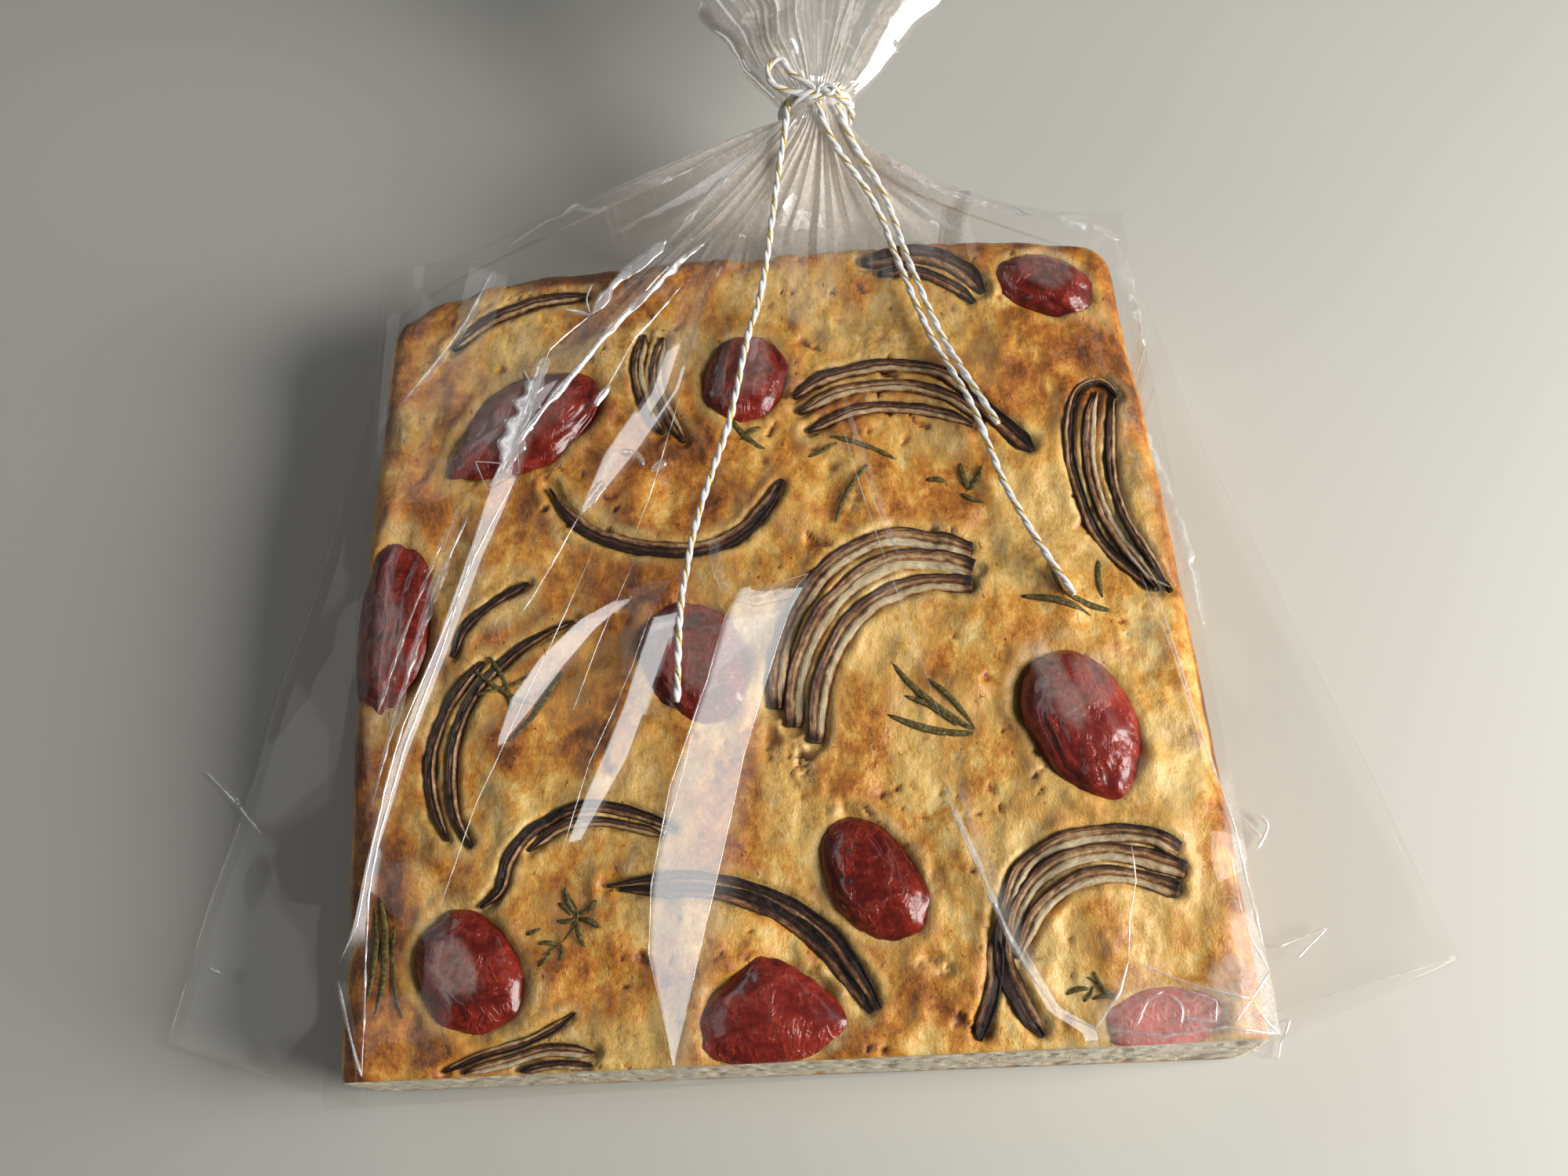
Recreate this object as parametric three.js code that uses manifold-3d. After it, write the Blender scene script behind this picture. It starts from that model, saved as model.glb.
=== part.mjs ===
// A square focaccia in a clear bag, gathered at the far end and tied with twine.
// Millimetres, +X to the right, +Y towards the tied end, +Z up, resting on Z = 0.
import * as THREE from "three";
import { mergeVertices } from "three/addons/utils/BufferGeometryUtils.js";
import Module from "manifold-3d";

// ---------------------------------------------------------------- driving dimensions

// The loaf lies about X = 0, Y = 0. It is a little wider at the near, cut side.
const LOAF = { near: -100, far: 109, halfNear: 105, halfFar: 99.5, height: 37.5, edgeRound: 6 };
const FILM_GAP = 2;

// The bag's surplus width lies flat on the table as a wing on each side.
const WING = { thickness: 2, reach: 164, corner: -86, far: 117, lift: 1.6, wave: 58 };
const BAG_NEAR = -104;
const SHOULDER = { start: 112, cornerHalf: 109 };

// The neck is where the twine gathers the film. The ruff is the loose film beyond it.
const NECK = { x: 21, y: 145, z: 45, radius: 8.5, length: 7 };
const RUFF = {
  tip: 226, x: 27, z: 63, halfWidth: 56, halfHeight: 29, flutes: 9, depth: 0.2, notch: 9,
};
const PLEATS = { count: 17, depth: 1.6 };

// Roasted tomatoes pushed into the top: centre, length, width, turn of the long axis, rise.
const TOMATOES = [
  { x: 78, y: 90, length: 27, width: 18, turn: -25, rise: 4 },
  { x: -3, y: 71, length: 26, width: 23, turn: 70, rise: 4.5 },
  { x: -60, y: 60, length: 40, width: 25, turn: 28, rise: 4 },
  { x: -90, y: 8, length: 42, width: 20, turn: 84, rise: 3 },
  { x: -20, y: -6, length: 33, width: 26, turn: -68, rise: 5 },
  { x: 72, y: -29, length: 37, width: 27, turn: -72, rise: 7 },
  { x: 20, y: -61, length: 31, width: 22, turn: -58, rise: 5 },
  { x: -72, y: -76, length: 30, width: 22, turn: -52, rise: 5 },
  { x: -6, y: -89, length: 34, width: 24, turn: 8, rise: 4 },
  { x: 81, y: -93, length: 26, width: 14, turn: 4, rise: 3 },
];

// Charred onion strips, each a bundle along a bend: start, the point it bends towards, end.
const ONIONS = [
  { bend: [[28, 104], [48, 102], [62, 87]], width: 7, rise: 1.6 },
  { bend: [[-80, 84], [-63, 97], [-44, 95]], width: 4, rise: 1.2 },
  { bend: [[-27, 86], [-30, 68], [-20, 53]], width: 9, rise: 1.6 },
  { bend: [[11, 60], [42, 76], [66, 45]], width: 10, rise: 2 },
  { bend: [[-54, 42], [-26, 4], [5, 40]], width: 4, rise: 2 },
  { bend: [[89, 60], [80, 28], [95, 4]], width: 7, rise: 2.4 },
  { bend: [[4, -24], [8, 22], [52, 14]], width: 10, rise: 2.6 },
  { bend: [[-54, 12], [-84, -12], [-78, -48]], width: 8, rise: 1.6 },
  { bend: [[-70, -62], [-56, -32], [-24, -48]], width: 4, rise: 2 },
  { bend: [[-41, -59], [0, -56], [18, -91]], width: 5, rise: 2.2 },
  { bend: [[51, -72], [60, -52], [91, -64]], width: 10, rise: 2.6 },
  { bend: [[49, -78], [49, -88], [50, -98]], width: 6, rise: 2.4 },
  { bend: [[-78, -98], [-62, -94], [-45, -94]], width: 5, rise: 1.8 },
];

// White twine with a thin metallic thread. It goes twice round the neck, is knotted on top
// with one small loop, and its two ends hang over the loaf. One end is doubled back.
const TWINE = { diameter: 1.8, gap: 0.3, sides: 8, step: 5.2, turns: 2, turnSteps: 22 };
const KNOT = { x: 24, y: 144.6, z: 55.4, size: [3.6, 2.4, 2], lean: 24 };
const LOOP = [
  [22, 144.5, 55.2], [15, 145, 55], [9.5, 148, 56], [9, 152, 57.5], [12.5, 153.5, 58], [15, 149.5, 57],
  [21, 145, 56],
];

// The middle lines of the loose ends, from the knot to the tip.
const TAILS = {
  twine_left: [
    [13.2, 142.4, 52.6], [12.2, 136, 52.3], [10.8, 130, 50.7], [9, 123.5, 46.6], [7.2, 115, 43.9],
    [5, 105, 40.8], [3.2, 96, 40.7], [1.2, 88, 41.1], [-0.8, 81, 43.7], [-2.6, 73, 45.2],
    [-5, 63, 44.8], [-7.6, 55, 42.2], [-11, 46.5, 40.9], [-14.4, 37.5, 40.6], [-17, 29, 41.1],
    [-18.1, 24, 42.6], [-19.6, 17, 42.5], [-21.2, 8, 43.9], [-22.2, -4, 45.3], [-23, -18, 44.9],
  ],
  twine_long: [
    [21.4, 141.2, 55.4], [22.6, 136.6, 53], [25, 131, 50.5], [28.6, 125, 48.6], [33, 118.5, 45.7],
    [36.4, 111, 42.7], [38.6, 102, 42], [41, 93.5, 41.6], [44, 83, 40.9], [47, 73.5, 41],
    [50.8, 63.5, 42.9], [54.4, 54.5, 42.9], [57.2, 45, 41.7], [60, 34.5, 41.1], [63.6, 25, 40.8],
    [67.4, 16.5, 40.3], [71, 9, 40.4], [74, 3, 40.6],
  ],
  twine_short: [
    [26.6, 141, 54], [28.4, 136, 51], [31, 130.5, 48.2], [34.6, 124.5, 45.9], [37.6, 117.5, 44],
    [39.8, 110, 42.3], [41.4, 102, 41.9], [43.6, 93.5, 42.2], [46.5, 83.5, 41.1], [49.6, 74, 41.1],
    [53.4, 64, 42.7], [57, 56, 43.2], [60.4, 49, 42.7],
  ],
};

// Mesh density.
const LOAF_STATIONS = 40;
const SHOULDER_STATIONS = 9;
const RUFF_STATIONS = 8;
const MOUTH_STATIONS = 3;

const FILM_COLOUR = 0xcfd0c4;
const TWINE_COLOUR = 0xf1efe8;

// ---------------------------------------------------------------- small helpers

const lerp = THREE.MathUtils.lerp;
const clamp = THREE.MathUtils.clamp;
const smooth = THREE.MathUtils.smoothstep;
const radians = THREE.MathUtils.degToRad;

// How far along the loaf a place lies, 0 at the near side and 1 at the far side.
const along = (y) => clamp((y - LOAF.near) / (LOAF.far - LOAF.near), 0, 1);

// ---------------------------------------------------------------- the loaf's top under film

// The height that one tomato adds at a place.
function tomatoRise(tomato, x, y) {
  const turn = radians(tomato.turn);
  const dx = x - tomato.x;
  const dy = y - tomato.y;
  const u = (dx * Math.cos(turn) + dy * Math.sin(turn)) / (tomato.length / 2 + FILM_GAP);
  const v = (dy * Math.cos(turn) - dx * Math.sin(turn)) / (tomato.width / 2 + FILM_GAP);
  return tomato.rise * Math.sqrt(Math.max(0, 1 - u * u - v * v));
}

// Each bundle's middle line, as points close together.
const ONION_LINES = ONIONS.map((onion) => {
  const corners = onion.bend.map(([x, y]) => new THREE.Vector2(x, y));
  return new THREE.QuadraticBezierCurve(...corners).getPoints(16);
});

// The height that one onion bundle adds at a place: a low rounded ridge.
function onionRise(onion, line, x, y) {
  const here = new THREE.Vector2(x, y);
  const distance = Math.min(...line.map((point) => point.distanceTo(here)));
  const across = distance / (onion.width / 2 + FILM_GAP);
  return onion.rise * Math.sqrt(Math.max(0, 1 - across * across));
}

// The dough between the toppings is uneven: broad low swells.
function swell(x, y) {
  const broad = Math.sin(x / 19 + 0.6) * Math.cos(y / 23 - 0.4);
  const small = Math.sin(x / 9.5 - y / 13) * Math.sin(y / 10.5 + 1.1);
  return 0.9 * broad + 0.5 * small;
}

const halfWidth = (y) => lerp(LOAF.halfNear, LOAF.halfFar, along(y));

// How much the rounded rim takes off the height, for a place this far in from an edge.
function rimDrop(inset, round) {
  const left = clamp(round - inset, 0, round);
  return round - Math.sqrt(round * round - left * left);
}

function topHeight(x, y) {
  const tomatoes = TOMATOES.map((tomato) => tomatoRise(tomato, x, y));
  const onions = ONIONS.map((onion, i) => onionRise(onion, ONION_LINES[i], x, y));
  const topping = Math.max(...tomatoes, ...onions);
  const sideInset = Math.max(0, halfWidth(y) - Math.abs(x));
  const farInset = Math.max(0, LOAF.far - y);
  const rim = Math.max(rimDrop(sideInset, LOAF.edgeRound), rimDrop(farInset, LOAF.edgeRound) / 4);
  return LOAF.height + FILM_GAP + swell(x, y) + topping - rim;
}

// ---------------------------------------------------------------- the bag's cross-sections

// One loop round the bag. Each stop has its place in the section across the loaf, as a zone
// and a share of it, and its angle in the round section at the neck.
function sectionStops() {
  const zones = [
    { zone: "wing", side: 1, count: 5, from: 0, to: 14 },
    { zone: "side", side: 1, count: 4, from: 14, to: 30 },
    { zone: "top", side: 0, count: 46, from: 30, to: 150 },
    { zone: "side", side: -1, count: 4, from: 150, to: 166 },
    { zone: "wing", side: -1, count: 5, from: 166, to: 180 },
    { zone: "bottom", side: 0, count: 24, from: 180, to: 360 },
  ];
  const stops = [];
  for (const { zone, side, count, from, to } of zones) {
    for (let k = 0; k < count; k++) {
      const share = side === -1 ? 1 - k / count : k / count;
      const turned = lerp(from, to, k / count);
      stops.push({ zone, side, share, angle: radians(turned) });
    }
  }
  return stops;
}

const STOPS = sectionStops();

// Where the side of the bag meets the table, and where its wing ends.
const footHalf = (y) => lerp(halfWidth(y) + FILM_GAP + 1, SHOULDER.cornerHalf, smooth(y, 40, SHOULDER.start));

function wingHalf(y) {
  const foot = footHalf(y) + 1;
  const slant = lerp(foot, WING.reach, clamp((y - BAG_NEAR) / (WING.corner - BAG_NEAR), 0, 1));
  const taper = lerp(WING.reach, foot, clamp((y - WING.corner) / (WING.far - WING.corner), 0, 1));
  return y < WING.corner ? slant : taper;
}

// A wing lifts off the table a little, in long waves.
function wingLift(x, y) {
  const out = Math.max(0, Math.abs(x) - footHalf(y));
  const wave = 0.5 + 0.5 * Math.sin((2 * Math.PI * (y + x / 3)) / WING.wave);
  return WING.lift * wave * clamp(out / 12, 0, 1);
}

// A stop's place in the section across the loaf.
function loafPoint(stop, y) {
  const foot = footHalf(y);
  const edge = halfWidth(y) + FILM_GAP;
  if (stop.zone === "top") {
    const x = lerp(edge, -edge, stop.share);
    return { x, z: topHeight(x, y) };
  }
  if (stop.zone === "side") {
    const x = stop.side * lerp(foot, edge, Math.sqrt(stop.share));
    return { x, z: lerp(WING.thickness, topHeight(stop.side * edge, y), stop.share) };
  }
  const reach = wingHalf(y);
  if (stop.zone === "wing") {
    const x = stop.side * lerp(reach, foot, stop.share);
    return { x, z: WING.thickness + wingLift(x, y) };
  }
  const x = lerp(-reach, reach, stop.share);
  return { x, z: wingLift(x, y) };
}

// A stop's place in the round neck.
function neckPoint(stop) {
  const x = NECK.x + NECK.radius * Math.cos(stop.angle);
  const z = NECK.z + NECK.radius * Math.sin(stop.angle);
  return { x, z };
}

// Between the loaf and the neck the film runs straight in height. The right shoulder falls
// in towards the neck sooner than the left one, and both are thinner at their outer fold.
function shoulderPoint(stop, t) {
  const wide = loafPoint(stop, SHOULDER.start);
  const round = neckPoint(stop);
  const outward = clamp(wide.x / SHOULDER.cornerHalf, -1, 1);
  const power = lerp(0.9, 1.9, (outward + 1) / 2);
  const inShare = 1 - Math.pow(1 - t, power);
  const middle = lerp(LOAF.height / 2, NECK.z, t);
  const thin = 1 - 0.55 * Math.sin(Math.PI * Math.pow(t, 0.6)) * Math.pow(Math.abs(outward), 3);
  const pleat = PLEATS.depth * Math.sin(Math.PI * t) * Math.cos(PLEATS.count * stop.angle);
  const z = middle + (lerp(wide.z, round.z, t) - middle) * thin;
  return { x: lerp(wide.x, round.x, inShare), z: z + pleat * Math.sin(stop.angle) };
}

// The ruff opens from the neck into a wide fluted fan. share runs from the neck to the tip.
function ruffPoint(stop, share, scale) {
  const open = Math.pow(share, 0.8);
  const flute = 1 + RUFF.depth * share * Math.cos(RUFF.flutes * stop.angle + 0.7);
  const wide = lerp(NECK.radius, RUFF.halfWidth, open) * flute * scale;
  const high = lerp(NECK.radius, RUFF.halfHeight, open) * flute * scale;
  const x = lerp(NECK.x, RUFF.x, share) + wide * Math.cos(stop.angle);
  const z = lerp(NECK.z, RUFF.z, share) + high * Math.sin(stop.angle);
  const tip = RUFF.tip - RUFF.notch * Math.pow(Math.sin(RUFF.flutes * 0.5 * stop.angle), 2);
  const y = lerp(NECK.y + NECK.length / 2, tip, share);
  return new THREE.Vector3(x, y, z);
}

// ---------------------------------------------------------------- the bag

// Every ring of the bag in order, from the near end to inside the ruff's mouth.
function bagRings() {
  const rings = [];
  const flat = (y, place) => rings.push(STOPS.map((stop) => {
    const { x, z } = place(stop);
    return new THREE.Vector3(x, y, z);
  }));
  for (let k = 0; k < LOAF_STATIONS; k++) {
    const y = lerp(BAG_NEAR, SHOULDER.start, k / LOAF_STATIONS);
    flat(y, (stop) => loafPoint(stop, y));
  }
  const neckStart = NECK.y - NECK.length / 2;
  for (let k = 0; k <= SHOULDER_STATIONS; k++) {
    const t = k / SHOULDER_STATIONS;
    flat(lerp(SHOULDER.start, neckStart, t), (stop) => shoulderPoint(stop, t));
  }
  for (let k = 0; k <= RUFF_STATIONS; k++) {
    const share = k / RUFF_STATIONS;
    rings.push(STOPS.map((stop) => ruffPoint(stop, share, 1)));
  }
  for (let k = 0; k <= MOUTH_STATIONS; k++) {
    const share = lerp(0.94, 0.55, k / MOUTH_STATIONS);
    rings.push(STOPS.map((stop) => ruffPoint(stop, share, lerp(0.8, 0.6, k / MOUTH_STATIONS))));
  }
  return rings;
}

// Joins rings of equal length into one closed body, with a fan of triangles at each end.
function closedLoft(rings) {
  const count = rings[0].length;
  const points = rings.flat();
  const faces = [];
  for (let ring = 0; ring < rings.length - 1; ring++) {
    for (let k = 0; k < count; k++) {
      const a = ring * count + k;
      const b = ring * count + ((k + 1) % count);
      faces.push(a, a + count, b, b, a + count, b + count);
    }
  }
  const sumOf = (ring) => ring.reduce((sum, point) => sum.add(point), new THREE.Vector3());
  const centre = (ring) => sumOf(ring).divideScalar(count);
  const first = points.push(centre(rings[0])) - 1;
  const last = points.push(centre(rings.at(-1))) - 1;
  const lastRing = (rings.length - 1) * count;
  for (let k = 0; k < count; k++) {
    const next = (k + 1) % count;
    faces.push(first, k, next);
    faces.push(last, lastRing + next, lastRing + k);
  }
  const geometry = new THREE.BufferGeometry().setFromPoints(points);
  geometry.setIndex(faces);
  return geometry;
}

// ---------------------------------------------------------------- the twine

// The twine's own round section.
function twineSection() {
  const section = new THREE.Shape();
  section.absarc(0, 0, TWINE.diameter / 2, 0, 2 * Math.PI);
  return section;
}

function twineTube(points) {
  const path = new THREE.CatmullRomCurve3(points.map((point) => new THREE.Vector3(...point)));
  const steps = Math.round(path.getLength() / TWINE.step);
  return new THREE.ExtrudeGeometry(twineSection(), {
    extrudePath: path,
    steps,
    curveSegments: TWINE.sides / 2,
    bevelEnabled: false,
  });
}

// Turns a closed mesh into a solid that can be joined, and back.
const manifold = await Module();
manifold.setup();

function toSolid(geometry) {
  const bare = geometry.clone();
  bare.deleteAttribute("normal");
  bare.deleteAttribute("uv");
  const merged = mergeVertices(bare, 1e-3);
  return new manifold.Manifold(new manifold.Mesh({
    numProp: 3,
    vertProperties: Float32Array.from(merged.attributes.position.array),
    triVerts: Uint32Array.from(merged.index.array),
  }));
}

function toGeometry(solid) {
  const { vertProperties, triVerts } = solid.getMesh();
  const geometry = new THREE.BufferGeometry();
  geometry.setAttribute("position", new THREE.BufferAttribute(vertProperties, 3));
  geometry.setIndex(new THREE.BufferAttribute(triVerts, 1));
  return geometry;
}

// One turn of twine round the neck, this far from the middle of the tie.
function turnRound(offset) {
  const radius = NECK.radius + TWINE.gap + TWINE.diameter / 2;
  const ring = new THREE.TorusGeometry(radius, TWINE.diameter / 2, TWINE.sides, TWINE.turnSteps);
  return ring.rotateX(Math.PI / 2).translate(NECK.x, NECK.y + offset, NECK.z);
}

// One of the two lumps that cross in the knot.
function knotLump(lean) {
  const lump = new THREE.SphereGeometry(1, 10, 6).scale(...KNOT.size);
  return lump.rotateZ(radians(lean)).translate(KNOT.x, KNOT.y, KNOT.z);
}

// The turns, the knot and its loop, joined.
function tie() {
  const spacing = TWINE.diameter * 0.9;
  let joined = toSolid(twineTube(LOOP));
  for (let turn = 0; turn < TWINE.turns; turn++) {
    const offset = spacing * (turn - (TWINE.turns - 1) / 2);
    joined = joined.add(toSolid(turnRound(offset)));
  }
  joined = joined.add(toSolid(knotLump(KNOT.lean)));
  joined = joined.add(toSolid(knotLump(-KNOT.lean)));
  return toGeometry(joined);
}

// ---------------------------------------------------------------- assembly

const filmMaterial = new THREE.MeshStandardMaterial({ color: FILM_COLOUR, roughness: 0.15, metalness: 0 });
const twineMaterial = new THREE.MeshStandardMaterial({ color: TWINE_COLOUR, roughness: 0.85, metalness: 0 });

// The pieces are placed about the loaf. The frame's origin is under the middle of the bag.
const pieces = new THREE.Group();

function addPiece(name, geometry, material) {
  const mesh = new THREE.Mesh(geometry, material);
  mesh.name = name;
  pieces.add(mesh);
  return mesh;
}

const bag = addPiece("bag", closedLoft(bagRings()), filmMaterial);
addPiece("twine_tie", tie(), twineMaterial);
for (const [name, points] of Object.entries(TAILS)) {
  addPiece(name, twineTube(points), twineMaterial);
}

const middle = new THREE.Box3().setFromObject(bag).getCenter(new THREE.Vector3());
pieces.position.set(-middle.x, -middle.y, 0);

const object = new THREE.Group();
object.add(pieces);

export default object;
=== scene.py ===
"""A square focaccia in a clear bag tied with twine: the looks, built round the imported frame."""
import itertools
import math
from collections import namedtuple

import bmesh
import bpy
import numpy as np
from mathutils import Matrix, Vector
from mathutils.bvhtree import BVHTree


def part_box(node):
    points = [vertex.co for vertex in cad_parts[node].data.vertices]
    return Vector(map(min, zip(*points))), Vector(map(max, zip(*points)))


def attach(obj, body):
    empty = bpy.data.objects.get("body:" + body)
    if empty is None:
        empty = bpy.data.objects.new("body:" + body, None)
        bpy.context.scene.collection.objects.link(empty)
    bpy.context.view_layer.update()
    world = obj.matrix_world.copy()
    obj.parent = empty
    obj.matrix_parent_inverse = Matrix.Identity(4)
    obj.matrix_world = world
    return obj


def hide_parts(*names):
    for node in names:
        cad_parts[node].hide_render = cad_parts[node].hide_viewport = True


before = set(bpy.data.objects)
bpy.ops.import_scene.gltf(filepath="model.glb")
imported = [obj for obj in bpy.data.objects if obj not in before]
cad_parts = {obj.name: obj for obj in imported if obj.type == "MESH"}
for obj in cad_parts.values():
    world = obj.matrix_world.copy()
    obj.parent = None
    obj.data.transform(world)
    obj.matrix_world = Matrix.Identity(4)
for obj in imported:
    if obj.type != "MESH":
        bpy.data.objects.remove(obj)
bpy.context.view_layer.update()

# ---------------------------------------------------------------- sizes, in millimetres
# Everything is laid out about the loaf: X to the right, Y to the tied end, Z up from the table.

MM = 0.001
BAG_LOW, BAG_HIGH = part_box("bag")
BAG_NEAR = -104.0
ORIGIN = np.array([(BAG_LOW.x + BAG_HIGH.x) / 2, BAG_LOW.y - BAG_NEAR * MM, 0.0])
# The size of a noise's table of random values, and the steps between two points of a curve.
NOISE_CELLS = 48
CURVE_STEPS = 24

# The loaf's top, by its four corners. It is cut straight along the near side.
CORNERS = {
    "near_left": (-103.8, -98.4), "near_right": (105, -101.4),
    "far_left": (-98.5, 102), "far_right": (96, 103),
}
LOAF = {"near": -100.0, "far": 109.0, "half_near": 105.0, "half_far": 99.5, "height": 37.5, "lift": 0.4}
# The distance between the points of the top, and the top's depth from corner to corner.
LOAF_STEP = 0.8
TOP_DEPTH = 200.0
# The radius of the far corners, and how far the far side and the sides bow out.
FAR_CORNER = {"left": 15.0, "right": 7.0}
FAR_BOW = 6.5
SIDE_BOW = 2.0
# The rim's radius, the slopes at which the top ends and the wall starts, how far in the top ends,
# and the radius of the rounded foot.
RIM = 6.5
RIM_START = math.radians(45)
RIM_END = math.radians(84)
RIM_INSET = RIM * (1 - math.sin(RIM_START))
FOOT = 3.0
# What the crust's material reads at each point, from 0 to 1.
LOAF_PAINTS = ("brown", "pale", "crumb", "burnt", "oily")
# How deep tomatoes and onions press into the dough, and how high it rises round them.
POCKET = {"depth": 2.8, "collar": 0.45}
GROOVE = {"depth": 1.3, "collar": 0.3}

# The bag, as in the solid: film over the loaf, wings on the table, shoulders, neck and ruff.
FILM_GAP = 2.0
WING = {"thickness": 2.0, "reach": 163.0, "corner": -86.0, "far": 117.0, "lift": 1.6, "wave": 58.0}
SHOULDER = {"start": 112.0, "corner_half": 109.0}
NECK = {"x": 21.0, "y": 145.0, "z": 45.0, "radius": 8.5, "length": 7.0}
RUFF = {
    "tip": 226.0, "x": 27.0, "z": 63.0, "half_width": 56.0, "half_height": 29.0,
    "flutes": 9, "depth": 0.2, "notch": 9.0,
}
# How far the milky gather reaches from the neck, the height of the pleats over the loaf, and the
# thickness of the ribbons that show a crease.
GATHER = 31.0
PLEAT = 0.55
CREASE_THICKNESS = 0.06
# The field in which the film's height is worked out, and the rounds that tighten and soften it.
FIELD = {"left": -112, "right": 112, "near": -106, "far": 114}
TIGHTEN_ROUNDS = 500
SOFTEN_ROUNDS = 14

# Roasted tomatoes: centre, length, width, turn of the long axis in degrees, rise over the dough,
# how much they taper across and point lengthways, how thin the skin is, and how wrinkled.
Tomato = namedtuple("Tomato", "x y length width turn rise taper point thin wrinkles", defaults=(0, 0, 0, 1))
TOMATOES = [
    Tomato(78, 90.5, 26, 17.5, -25, 4),
    Tomato(-3, 70.5, 26, 22, 70, 4),
    Tomato(-60, 61, 46, 25, 33, 3.8, point=0.22),
    Tomato(-95.5, 8, 47, 22, 85, 2.2),
    Tomato(-19.5, -6, 33, 26, -68, 4.2),
    Tomato(72, -28, 40, 25.5, -70, 5.8, thin=0.2),
    Tomato(20, -61, 31, 21, -58, 4.6),
    Tomato(-74, -76.5, 31, 23, -60, 4.2, taper=-0.12, wrinkles=0.6),
    Tomato(-6, -89, 31, 24, 6, 3.2, taper=0.42, thin=0.12, wrinkles=0.5),
    Tomato(82, -96, 27, 13, 4, 2.4, thin=1, wrinkles=0.5),
]
# Tomatoes that lie beyond "from" at a side droop over the rim.
DROOP = {"from": 85.0, "start": 95.0, "bend": 0.075}

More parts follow.
